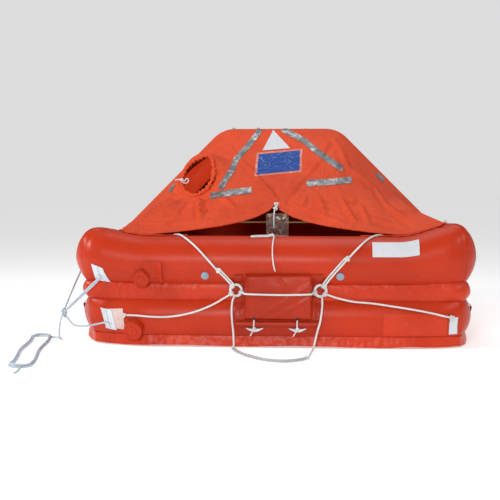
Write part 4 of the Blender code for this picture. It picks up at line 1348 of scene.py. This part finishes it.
def toggles():
    for name, middle in TOGGLES:
        horn = edit(primitive(bpy.ops.mesh.primitive_cube_add, size=1),
                    (bpy.ops.mesh.subdivide, {"number_cuts": 7}))
        for vertex in horn.data.vertices:
            share, thick, tall = vertex.co.x * 2, vertex.co.y, vertex.co.z
            taper = 1 - 0.86 * abs(share) ** 1.6
            up = 0.013 * share * share + tall * 0.017 * taper - 0.004
            out, z = skin(LOWER_Z, -18, 0.0082 + thick * 0.007 * (0.5 + 0.5 * taper))
            vertex.co = wall("front", middle + 0.044 * share, out + up * 0.309, z + up * 0.951)
        horn = tidy_normals(modify(horn, "SUBSURF", levels=1, render_levels=1))
        finish_piece(horn, f"toggle_{name}_horn", WHITE_PLASTIC, [f"toggle_{name}"])
        strap, tail = ([wall("front", middle + aside, out, z) for aside, out, z in rows]
                       for rows in (TOGGLE_STRAP, TOGGLE_TAIL))
        parts = [laid_line(smooth_route(strap, 0.002), 0.0052, sides=10, strands=0, flat=0.5),
                 laid_line(smooth_route(tail, 0.002), 0.0030, sides=8),
                 overhand_knot(strap[-2], 0.006, 0.0030, (0, -1, 0))]
        finish_piece(join(parts), f"toggle_{name}_strap", ROPE)
        hole = eyelet(0.0065, 0.0022, wall("front", middle, 0.1665, 0.1490))
        finish_piece(hole, f"pouch_eyelet_{name}", BLACK_THREAD)


RING_Z = 0.288
RING_BACK = 0.1175
RING_R = 0.0285
RING_BAND = 0.0065
RING_FLAT = 0.42
RINGS = {"left": -0.182, "right": 0.240}


def rings():
    for name, middle in RINGS.items():
        centre = wall("front", middle, RING_BACK + 0.0025, RING_Z)
        ring = torus(RING_R, RING_BAND, 56, 14)
        for vertex in ring.data.vertices:
            x, y, z = vertex.co
            vertex.co = centre + Vector((x, z * RING_FLAT, y))
        tidy_normals(ring)
        finish_piece(ring, f"flat_ring_{name}", WHITE_PLASTIC, [f"ring_{name}"])


# Lines held by the raft

def wall_route(side, table):
    """Columns of the table: along the side, out from the centre line, up."""
    return [wall(side, along, out, z) for along, out, z in table]


def over_tube(rows, centre_z, lift):
    """Rows of along and angle, taken to a tube's skin."""
    return [(along, *skin(centre_z, angle, lift)) for along, angle in rows]


RING_FACE = RING_BACK + 0.005 + 0.0003 + ROPE_R
ON_TUBE = ROPE_R + 0.0012
LINE_SPACING = 0.004
# Grab lines on the other three sides: how far they reach from the middle, and the steps of their route
GRAB_REACH = 0.76
GRAB_STEPS = 16


def held_line(name, node, route, extras=()):
    line = laid_line(smooth_route(route, LINE_SPACING), ROPE_R)
    finish_piece(join([line, *extras]), name, ROPE, [node], 60)


def ring_hitch(side, angle_deg):
    """A hitch of line round a flat ring's band."""
    turn = math.radians(angle_deg)
    along, z = RINGS[side] + RING_R * math.cos(turn), RING_Z + RING_R * math.sin(turn)
    tangent = Vector((-math.sin(turn), 0, math.cos(turn)))
    return wraps(wall("front", along, RING_BACK + 0.004, z), tangent, 0.0105, 0.0042, 2.4, 0.0078, 0.75)


def top_bridle(side, rows, ring_x, start, knot_aside, strand_aside, turn, hitches):
    """A line over the upper tube down to its ring, with a knot and a second strand from it on."""
    rows = [*over_tube(rows, UPPER_Z, ON_TUBE), (ring_x, RING_FACE, 0.3098)]
    route = wall_route("front", rows)
    second = [p + Vector(strand_aside) for p in route[start:]]
    extras = [overhand_knot(route[start] + Vector(knot_aside), 0.011, 0.0046, (0, -1, 0.1), turn),
              laid_line(smooth_route(second, LINE_SPACING), 0.0042)]
    extras += [ring_hitch(side, angle) for angle in hitches]
    held_line(f"bridle_{side}_line", f"bridle_{side}", route, extras)


def front_grab_line(side, free, rows, lift, knot_aside, knot):
    """A grab line from its ring along the lower tube, with a knot at its far end."""
    route = wall_route("front", [*free, *over_tube(rows, LOWER_Z, lift)])
    held_line(f"lifeline_front_{side}", f"grab_line_front_{side}", route,
              [overhand_knot(route[-1] + Vector(knot_aside), *knot)])


def held_lines():
    rows = ((-0.520, 104), (-0.480, 84), (-0.440, 62), (-0.385, 38), (-0.330, 14), (-0.275, -10),
            (-0.235, -28))
    top_bridle("left", rows, -0.2003, 5, (0.006, -0.004, 0.0), (0.010, -0.001, 0.006), 0.0, (130, 215))
    rows = ((0.560, 104), (0.520, 84), (0.476, 62), (0.428, 38), (0.375, 14), (0.330, -6),
            (0.290, -26))
    top_bridle("right", rows, 0.2583, 4, (-0.004, -0.004, 0.0), (-0.010, -0.001, 0.007), 1.0, (50, 325))
    across = POUCH_DEEP + ROPE_R + 0.002
    level = ((-0.1545, RING_FACE, 0.2806), (-0.142, 0.150, 0.2775), (-0.120, across, 0.275),
             (0.03, across + 0.001, 0.272), (0.178, across, 0.275), (0.200, 0.150, 0.2775),
             (0.2125, RING_FACE, 0.2806))
    held_line("ring_to_ring_line", "ring_line", wall_route("front", level),
              [ring_hitch("left", -20), ring_hitch("right", 200)])
    front_grab_line("left", ((-0.2053, RING_FACE, 0.2717), (-0.240, 0.133, 0.250), (-0.300, 0.141, 0.216)),
                    ((-0.378, 18), (-0.455, 10), (-0.532, 6), (-0.610, 6), (-0.690, 8), (-0.762, 8)),
                    ON_TUBE, (0, -0.004, 0), (0.010, 0.0042, (0, -1, 0)))
    front_grab_line("right", ((0.2647, RING_FACE, 0.2738), (0.320, 0.132, 0.255), (0.40, 0.140, 0.238)),
                    ((0.50, 36), (0.60, 30), (0.70, 24), (0.80, 17), (0.88, 11), (0.935, 8)),
                    ROPE_R + 0.0070, (0.004, -0.003, 0), (0.011, 0.0044, (0.5, -1, 0)))
    for side in ("left", "right", "back"):
        rows = []
        for k in range(GRAB_STEPS + 1):
            share = k / GRAB_STEPS
            along = -GRAB_REACH + 2 * GRAB_REACH * share
            rows.append((along, 18 - 22 * abs(math.sin(2 * math.pi * share))))
        route = wall_route(side, over_tube(rows, LOWER_Z, ON_TUBE))
        held_line(f"lifeline_{side}", f"grab_line_{side}", route)


def line_patches():
    """Small welded patches that hold the grab lines on the other three sides."""
    made = []
    for side in ("left", "right", "back"):
        for along in (-GRAB_REACH, 0.0, GRAB_REACH):
            def place(u, v):
                bridge = 0.010 * bell(v - 0.5, 0.16)
                angle_deg = 18 + 36 * (0.5 - v)
                return on_tube(side, along + 0.060 * (u - 0.5), LOWER_Z, angle_deg, 0.0014 + bridge)
            made.append(thicken(draped_grid(10, 24, place), 0.002))
    finish_piece(join(made), "grab_line_patches", WRINKLED)


# Free cords. All but two of the bridle's strands take the solids' routes

LADDER_R = 0.005
RUNG_R = 0.0083
LADDER_LEFT = ((-0.187, -1.0142, 0.2600), (-0.198, -1.0260, 0.238), (-0.2025, -1.031, 0.19),
               (-0.200, -1.033, 0.14), (-0.194, -1.036, 0.08), (-0.191, -1.044, 0.035),
               (-0.189, -1.066, 0.0085), (-0.188, -1.1068, 0.0088))
RUNG = ((-0.1876, -1.109, 0.0088), (-0.155, -1.195, 0.0088), (-0.107, -1.283, 0.0088),
        (-0.021, -1.385, 0.0088), (0.0636, -1.418, 0.0088), (0.1275, -1.395, 0.0088),
        (0.1732, -1.345, 0.0088))
LADDER_RIGHT = ((0.1750, -1.3412, 0.0087), (0.186, -1.28, 0.0054), (0.193, -1.20, 0.0054),
                (0.200, -1.13, 0.0060), (0.207, -1.082, 0.0140), (0.216, -1.062, 0.050),
                (0.228, -1.0595, 0.100), (0.236, -1.0590, 0.1255), (0.243, -1.048, 0.160),
                (0.248, -1.036, 0.20), (0.249, -1.026, 0.235), (0.2474, -1.0142, 0.2605))
TIE = ((0.0076, -0.6495, 0.7047), (0.0050, -0.668, 0.700), (0.002, -0.690, 0.693),
       (-0.003, -0.7065, 0.676), (-0.006, -0.7090, 0.64), (-0.006, -0.7085, 0.585))
ENTRANCE_LINE = ((0.015, -1.0257, 0.3850), (0.007, -1.0291, 0.4158), (0.001, -1.0205, 0.4646),
                 (0.000, -0.9925, 0.5112), (0.003, -0.9534, 0.5417), (0.004, -0.9200, 0.5545),
                 (-0.012, -0.9060, 0.5574), (-0.055, -0.9050, 0.5575), (-0.098, -0.9120, 0.5565),
                 (-0.112, -0.9240, 0.5539), (-0.098, -0.9320, 0.5517), (-0.055, -0.9260, 0.5536),
                 (-0.020, -0.9260, 0.5536))


def free_cord(name, points, radius, nodes, material):
    """A free line, made along its route from its held end."""
    route = smooth_route(points, LINE_SPACING)
    line = finish_piece(laid_line(route, radius), name, material, nodes, 60)
    path = [tuple(p) for p in route[::2]] + [tuple(route[-1])]
    tuple(points[0])
    round(length_of(route), 2)


def boarding_ladder():
    rung_route = smooth_route(RUNG, 0.006)

    def place(share, turn):
        index = (share + 1) / 2 * (len(rung_route) - 1)
        low = min(int(index), len(rung_route) - 2)
        centre = rung_route[low].lerp(rung_route[low + 1], index - low)
        along = (rung_route[low + 1] - rung_route[low]).normalized()
        across = Vector((along.y, -along.x, 0)).normalized()
        radius = RUNG_R * (1.06 if abs(share) > 0.985 else 1.0)
        return centre + across * (radius * math.cos(turn)) + Vector((0, 0, radius * math.sin(turn)))

    rung = tidy_normals(long_tube(20, 79, place))
    finish_piece(rung, "ladder_rung_tube", RUNG_VINYL, ["ladder_rung"])
    knots = tied_knots("ladder_knots", ROPE, (
        ((-0.1880, -1.1040, 0.0125), 0.0115, 0.0042, (0.1, -0.4, 1)),
        ((0.1765, -1.3400, 0.0125), 0.0115, 0.0042, (0.1, -0.2, 1), 0.7)))
    points = LADDER_LEFT[:-1] + RUNG + LADDER_RIGHT[1:]
    free_cord("boarding_ladder_line", points, LADDER_R, ["ladder_line_left", "ladder_line_right"], ROPE)


def entrance_cords():
    knots = tied_knots("canopy_tie_knots", ROPE, (
        ((0.0060, -0.6620, 0.7080), 0.0125, 0.0038, (0, -1, 0.2)),
        ((0.0020, -0.6950, 0.6900), 0.0105, 0.0036, (0.3, -1, 0.4), 0.8)))
    free_cord("canopy_tie_line", TIE, 0.004, ["canopy_tie"], ROPE)
    bow = tied_knots("entrance_line_knot", ROPE, (
        ((-0.004, -0.9200, 0.5600), 0.0085, 0.0032, (0, -0.5, 1)),
        ((-0.014, -0.9240, 0.5595), 0.0075, 0.0032, (0.2, -0.4, 1), 1.1)))
    free_cord("entrance_line_loop", ENTRANCE_LINE, 0.0035, ["entrance_line"], ROPE)


KNOT = Vector((-1.055, -1.020, 0.170))
BRIDLE_UPPER = ((-0.880, -0.9912, 0.3364), (-0.899, -0.9970, 0.3165), (-0.945, -1.0120, 0.272),
                (-1.005, -1.022, 0.215), (-1.0444, -1.0207, 0.1806))
BRIDLE_LOWER = ((-0.848, -0.9874, 0.118), (-0.895, -0.9885, 0.108), (-0.955, -1.012, 0.100),
                (-1.005, -1.022, 0.108), (-1.035, -1.021, 0.140), (-1.0477, -1.020, 0.1569))
PAINTER_LEAD = ((-1.0664, -1.0151, 0.1594), (-1.085, -0.985, 0.115), (-1.100, -0.945, 0.070),
                (-1.112, -0.900, 0.032), (-1.120, -0.855, 0.0085), (-1.128, -0.818, 0.0052),
                (-1.1490, -0.7935, 0.0052), (-1.1707, -0.7950, 0.0052))
# Second strands of the bridle: one beside the upper one, one from behind the left side
BRIDLE_BESIDE = ((-0.868, -0.9912, 0.3480), (-0.899, -0.9990, 0.3260), (-0.945, -1.0160, 0.281),
                 (-1.005, -1.028, 0.223), (-1.0425, -1.0285, 0.1862))
BRIDLE_SIDE = ((-1.0315, -0.735, 0.362), (-1.042, -0.830, 0.300), (-1.052, -0.930, 0.232),
               (-1.0580, -0.9950, 0.186))
HANK_START = Vector((-1.238, -0.775, 0.0))
HANK_END = Vector((-1.118, -1.585, 0.0))
HANK_RUN = (HANK_END - HANK_START).normalized()
HANK_ACROSS = Vector((-HANK_RUN.y, HANK_RUN.x, 0))
PAINTER_TAIL = ((-1.1000, -1.6452, 0.0052), (-1.094, -1.672, 0.0052), (-1.090, -1.70, 0.0052),
                (-1.088, -1.74, 0.0052), (-1.090, -1.775, 0.0052))
HANK_TURNS = 3.53
HANK_FLOOR_TURNS = 2
HANK_STEPS = 44
HANK_OUTER_R = 0.0565
HANK_PITCH = 0.0100
HANK_NEST_Z = 0.0083


def hank_point(turns, radius):
    """A point of a long loop with round ends. It starts at the far end's right side."""
    span = (HANK_END - HANK_START).length
    bend = math.pi * radius
    place = (turns % 1.0) * (2 * span + 2 * bend)
    for hub, way in ((HANK_START, 1), (HANK_END, -1)):
        if place < bend:
            reach, turn = way * radius, place / radius
            return hub + HANK_ACROSS * (reach * math.cos(turn)) - HANK_RUN * (reach * math.sin(turn))
        place -= bend
        if place < span or hub is HANK_END:
            return hub + HANK_RUN * (way * place) - HANK_ACROSS * (way * radius)
        place -= span


def painter_points():
    """Lead, hank and tail in one. Two turns lie on the floor, the others are nested on top of them."""
    points = list(PAINTER_LEAD[:-1])
    for k in range(3, int(HANK_TURNS * HANK_STEPS) + 1):
        turns = k / HANK_STEPS
        floor_radius = HANK_OUTER_R - HANK_PITCH * min(turns, HANK_FLOOR_TURNS)
        top_radius = HANK_OUTER_R - HANK_PITCH * (0.5 + turns - HANK_FLOOR_TURNS)
        climb = smooth((turns - HANK_FLOOR_TURNS) / 0.16)
        point = hank_point(turns, floor_radius * (1 - climb) + top_radius * climb)
        along = (point - HANK_START).dot(HANK_RUN)
        point += HANK_ACROSS * (0.0060 * math.sin(along * 11) + 0.0016 * ripple(turns * 6, 3.0))
        crossing = 0.0028 * bell(turns - HANK_FLOOR_TURNS - 0.07, 0.05)
        point.z = PAINTER_R + 0.0004 + HANK_NEST_Z * climb + crossing
        points.append(point)
    for beyond, aside, z in ((0.040, 0.006, 0.0150), (0.050, 0.009, 0.0165), (0.060, 0.010, 0.0140)):
        points.append(HANK_END + HANK_RUN * beyond + HANK_ACROSS * aside + Vector((0, 0, z)))
    return [*points, *PAINTER_TAIL[1:]]


def painter():
    knots = tied_knots("painter_knots", PAINTER, (
        (KNOT, 0.0125, 0.0050, (0.2, -1, 0.2)),
        (KNOT + Vector((0.004, -0.004, -0.012)), 0.0110, 0.0046, (0.6, -1, 0), 0.9),
        (KNOT + Vector((-0.004, 0.006, 0.010)), 0.0100, 0.0046, (0.1, -0.6, 0.8), 2.0)), ["painter_knot"])
    # Columns: strand, its points, its nodes, how it lies
    strands = (
        ("upper", BRIDLE_UPPER, ["painter_bridle_upper"], "taut"),
        ("beside", BRIDLE_BESIDE, [], "taut"),
        ("side", BRIDLE_SIDE, [], "taut"),
        ("lower", BRIDLE_LOWER, ["painter_bridle_lower"], "loose"),
    )
    for strand, points, nodes, lay in strands:
        free_cord(f"painter_bridle_{strand}_line", points, PAINTER_R, nodes, PAINTER)
    free_cord("painter_line", painter_points(), PAINTER_R, ["painter_lead", "painter_hank", "painter_tail"],
              PAINTER)


# Patches, plates, valves and plugs

def tube_patch(name, node, material, slot, corners, level, thick=0.0018, lift=0.0016):
    """A thin patch on the front of a tube. corners holds along and angle, from the top left round."""
    (a0, g0), (a1, g1), (a2, g2), (a3, g3) = corners

    def place(u, v):
        top_a, top_g = a0 + (a1 - a0) * u, g0 + (g1 - g0) * u
        foot_a, foot_g = a3 + (a2 - a3) * u, g3 + (g2 - g3) * u
        along = foot_a + (top_a - foot_a) * v
        angle = foot_g + (top_g - foot_g) * v
        relief = tube_relief("front", level, along / (AXIS + TUBE_R), angle)
        return on_tube("front", along, LEVELS[level], angle, lift + relief)

    flat_piece(name, 30, 18, place, thick, material, [node])
    return place


STITCHES = 7
STITCH_LIFT = 0.0022


def stitches(name, place, lines):
    """Rows of short dark stitches. Each line runs between two points, given as shares of a patch."""
    made = []
    for (u0, v0), (u1, v1) in lines:
        for k in range(STITCHES):
            start, end = (k + 0.12) / STITCHES, (k + 0.78) / STITCHES
            route = [place(u0 + (u1 - u0) * share, v0 + (v1 - v0) * share) + Vector((0, -STITCH_LIFT, 0))
                     for share in (start, (start + end) / 2, end)]
            made.append(laid_line(route, 0.0016, sides=6, strands=0))
    finish_piece(join(made), name, BLACK_THREAD)


def patches():
    pad = (0.003, 0.0028)
    tube_patch("name_plate_blank", "name_plate", WHITE_FILM, "white_patch",
               ((0.496, 54), (0.727, 54), (0.727, 18), (0.496, 18)), "upper")
    tube_patch("instruction_patch_blank", "instruction_patch", WRINKLED, "tube_fabric",
               ((0.552, 16), (0.905, 16), (0.905, -31), (0.552, -31)), "lower")
    place = tube_patch("painter_patch_pad", "painter_patch", PATCH_WHITE, "white_patch",
                       ((-0.945, -8), (-0.862, -14), (-0.835, -44), (-0.925, -40)), "upper", *pad)
    stitches("painter_patch_stitches", place, (((0.5, 0.95), (0.5, 0.1)), ((0.30, 0.42), (0.72, 0.38))))
    place = tube_patch("lower_patch_pad", "lower_patch_outer", PATCH_WHITE, "white_patch",
                       ((-0.930, 22), (-0.842, 18), (-0.826, -26), (-0.912, -22)), "lower", *pad)
    stitches("lower_patch_stitches", place, (((0.5, 0.95), (0.5, 0.05)), ((0.20, 0.36), (0.80, 0.30))))
    tube_patch("lower_patch_behind", "lower_patch_inner", PATCH_PINK, "white_patch",
               ((-0.872, 20), (-0.772, 22), (-0.766, -24), (-0.858, -22)), "lower", 0.0012, 0.0012)
    tube_patch("right_patch_pad", "right_patch", PATCH_WHITE, "white_patch",
               ((0.925, 8), (0.985, 8), (0.985, -28), (0.925, -28)), "lower", *pad)


def tube_seat(side, along, level, angle_deg):
    """Foot, outward, sideways and upward directions of a round piece on a tube."""
    def at(aside, round_it):
        return on_tube(side, along + aside, LEVELS[level], angle_deg + round_it, 0.0)

    sideways = at(0.02, 0) - at(-0.02, 0)
    normal = sideways.cross(at(0, 8) - at(0, -8)).normalized()
    across = sideways.normalized()
    return at(0, 0), normal, across, normal.cross(across)


def round_piece(node, material, seat, radius, height, steps, sides=40):
    """A disc whose top face is inset, raised and sunk. Steps hold an inset and a rise."""
    foot, normal, across, rise = seat
    disc = primitive(bpy.ops.mesh.primitive_cylinder_add, vertices=sides, radius=radius, depth=height,
                     location=(0, 0, height / 2))
    only(disc)
    bpy.ops.object.transform_apply(location=True)
    bpy.ops.object.mode_set(mode="EDIT")
    bpy.ops.mesh.select_mode(type="FACE")
    for inset, lift in steps:
        bpy.ops.mesh.select_all(action="DESELECT")
        shape = bmesh.from_edit_mesh(disc.data)
        flat = [face for face in shape.faces if len(face.verts) == sides and face.normal.z > 0.5]
        top = min(flat, key=lambda face: face.calc_area())
        top.select = True
        bmesh.update_edit_mesh(disc.data)
        if inset:
            bpy.ops.mesh.inset(thickness=inset, depth=0)
        if lift:
            bpy.ops.mesh.extrude_region_move(TRANSFORM_OT_translate={"value": (0, 0, lift)})
    bpy.ops.object.mode_set(mode="OBJECT")
    modify(disc, "BEVEL", width=0.0022, segments=3, limit_method="ANGLE")
    for vertex in disc.data.vertices:
        x, y, z = vertex.co
        vertex.co = foot + across * x + rise * y + normal * z
    finish_piece(disc, f"{node}_moulded", material, [node], 40)


# Insets and rises of the caps' and the plugs' faces
UPPER_CAP = ((0.004, 0.0), (0.004, -0.003), (0.010, 0.0), (0.003, 0.003), (0.010, 0.0), (0.003, -0.002))
LOWER_CAP = ((0.005, 0.0), (0.003, -0.003), (0.014, 0.0), (0.003, 0.003), (0.014, 0.0), (0.002, -0.002))
PLUG = ((0.004, 0.0), (0.002, 0.003), (0.005, 0.0), (0.001, -0.002))
# Columns: plug, side, along, angle
PLUGS = (
    ("plug_front_left", "front", -0.337, -22),
    ("plug_front_right", "front", 0.338, -22),
    ("plug_left", "left", 0.72, -28),
    ("plug_right", "right", -0.70, -20),
)


def valves():
    seat = tube_seat("front", -0.655, "upper", -25)
    round_piece("upper_valve_cap", TUBE, seat, 0.038, 0.040, UPPER_CAP)
    seat = tube_seat("front", -0.70, "lower", -18)
    round_piece("lower_valve_cap", TUBE, seat, 0.047, 0.042, LOWER_CAP)
    for node, side, along, angle in PLUGS:
        seat = tube_seat(side, along, "upper", angle)
        round_piece(node, GREY_PLASTIC, seat, 0.0195, 0.011, PLUG, 28)

    def hood_place(u, v):
        along = -0.640 + 0.085 * u
        angle = 6 - 42 * v
        over_cap = 0.030 * smooth(1 - u / 0.60) * smooth(1 - abs(v - 0.30) / 0.80)
        curl = 0.014 * bell(u - 1.0, 0.16) * (0.4 + 0.6 * v) + 0.010 * bell(v, 0.10) * (1 - u)
        dish = -0.004 * bell(u - 0.55, 0.2) + 0.003 * ripple(u * 5, v * 5)
        return on_tube("front", along, UPPER_Z, angle, 0.0062 + over_cap * (1 - v * 0.8) * 0.5 + curl + dish)

    flat_piece("valve_hood_flap", 26, 26, hood_place, 0.003, TUBE, ["valve_hood"])


# The clear pouch: its left edge, width, foot, height, and how far forward it hangs
CLEAR_X = -0.047
CLEAR_WIDE = 0.119
CLEAR_Z = 0.503
CLEAR_TALL = 0.160
CLEAR_Y = -0.7022


def clear_pouch():
    """A pocket of clear vinyl with welded edges and two eyelets, hung in the entrance."""
    def place(u, v):
        x = CLEAR_X + CLEAR_WIDE * u
        z = CLEAR_Z + CLEAR_TALL * v
        swell = 0.0030 * math.sin(math.pi * u) * math.sin(math.pi * v) + 0.0022 * ripple(u * 4, v * 5)
        return Vector((x, CLEAR_Y - swell, z - 0.006 * (1 - v) * u))

    flat_piece("clear_pouch_film", 30, 36, place, 0.0012, VINYL, ["clear_pouch"])
    route = []
    for k in range(21):
        route.append(place(0.01 + 0.98 * k / 20, 0.28) + Vector((0, -0.0012, 0.0015 * ripple(k * 0.7))))
    finish_piece(laid_line(route, 0.0012, sides=6, strands=0), "clear_pouch_weld", WHITE_PLASTIC)
    eyes = [eyelet(0.0060, 0.0018, place(u, 0.93) + Vector((0, -0.001, 0))) for u in (0.14, 0.84)]
    finish_piece(join(eyes), "clear_pouch_eyelets", LACING)


LACING_STEPS = 120


def inner_lacing():
    """Straw-coloured lacing along the inside of the back tube, where the back sheet is tied down."""
    route = [on_tube("back", -0.78 + 1.56 * k / LACING_STEPS, UPPER_Z, 112 + (2.2 if k % 2 else -2.2), 0.0036)
             for k in range(LACING_STEPS + 1)]
    line = laid_line(smooth_route(route, 0.006), 0.0034, sides=7, strands=0)
    finish_piece(line, "back_hem_lacing", LACING)


# Studio

CAMERA_PLACE = (0.22, -6.025, 0.8575)
CAMERA_LENS = 72.7
CAMERA_SHIFT = 0.004
CAMERA_DOWN_DEG = 4.17
CAMERA_TURN_DEG = 3.9
SKY_LIGHT = 0.33
BACKDROP = (0.72, 0.72, 0.725, 1.0)
AIM = Vector((0.0, -0.3, 0.4))
# Columns: name, place, size, watts
LAMPS = (
    ("front", (-0.5, -6.2, 2.5), 1.2, 115),
    ("left", (-4.4, -2.2, 2.6), 0.9, 120),
    ("right", (4.2, -3.6, 3.6), 1.2, 60),
    ("top", (0.3, 0.0, 4.2), 2.6, 45),
)


def studio():
    camera_data = bpy.data.cameras.new("camera")
    camera_data.lens = CAMERA_LENS
    camera_data.shift_x = CAMERA_SHIFT
    camera_data.sensor_width = 36.0
    camera = bpy.data.objects.new("camera", camera_data)
    camera.location = CAMERA_PLACE
    camera.rotation_euler = (math.radians(90 - CAMERA_DOWN_DEG), 0, math.radians(CAMERA_TURN_DEG))
    bpy.context.scene.collection.objects.link(camera)
    bpy.context.scene.camera = camera
    for name, place, size, watts in LAMPS:
        light_data = bpy.data.lights.new(name, "AREA")
        light_data.size = size
        light_data.energy = watts
        light = bpy.data.objects.new(name, light_data)
        light.location = place
        light.rotation_euler = (AIM - Vector(place)).to_track_quat("-Z", "Y").to_euler()
        bpy.context.scene.collection.objects.link(light)
    world = bpy.data.worlds.new("studio")
    world.use_nodes = True
    tree = world.node_tree
    sky = tree.nodes["Background"]
    sky.inputs["Color"].default_value = (1.0, 1.0, 1.0, 1.0)
    sky.inputs["Strength"].default_value = SKY_LIGHT
    backdrop = tree.nodes.new("ShaderNodeBackground")
    backdrop.inputs["Color"].default_value = BACKDROP
    seen = tree.nodes.new("ShaderNodeLightPath")
    choice = tree.nodes.new("ShaderNodeMixShader")
    tree.links.new(seen.outputs["Is Camera Ray"], choice.inputs[0])
    tree.links.new(sky.outputs[0], choice.inputs[1])
    tree.links.new(backdrop.outputs[0], choice.inputs[2])
    tree.links.new(choice.outputs[0], tree.nodes["World Output"].inputs["Surface"])
    bpy.context.scene.world = world
    bpy.context.scene.view_settings.view_transform = "Standard"
    bpy.context.scene.view_settings.look = "None"
    floor = primitive(bpy.ops.mesh.primitive_plane_add, size=60, location=(0, 0, -0.0005))
    floor.name = "studio_floor"
    floor.data.materials.append(pale_studio())


studio()
boarding_ladder()
entrance_cords()
painter()
held_lines()
line_patches()
buoyancy()
canopy()
pouch()
toggles()
rings()
patches()
valves()
clear_pouch()
inner_lacing()
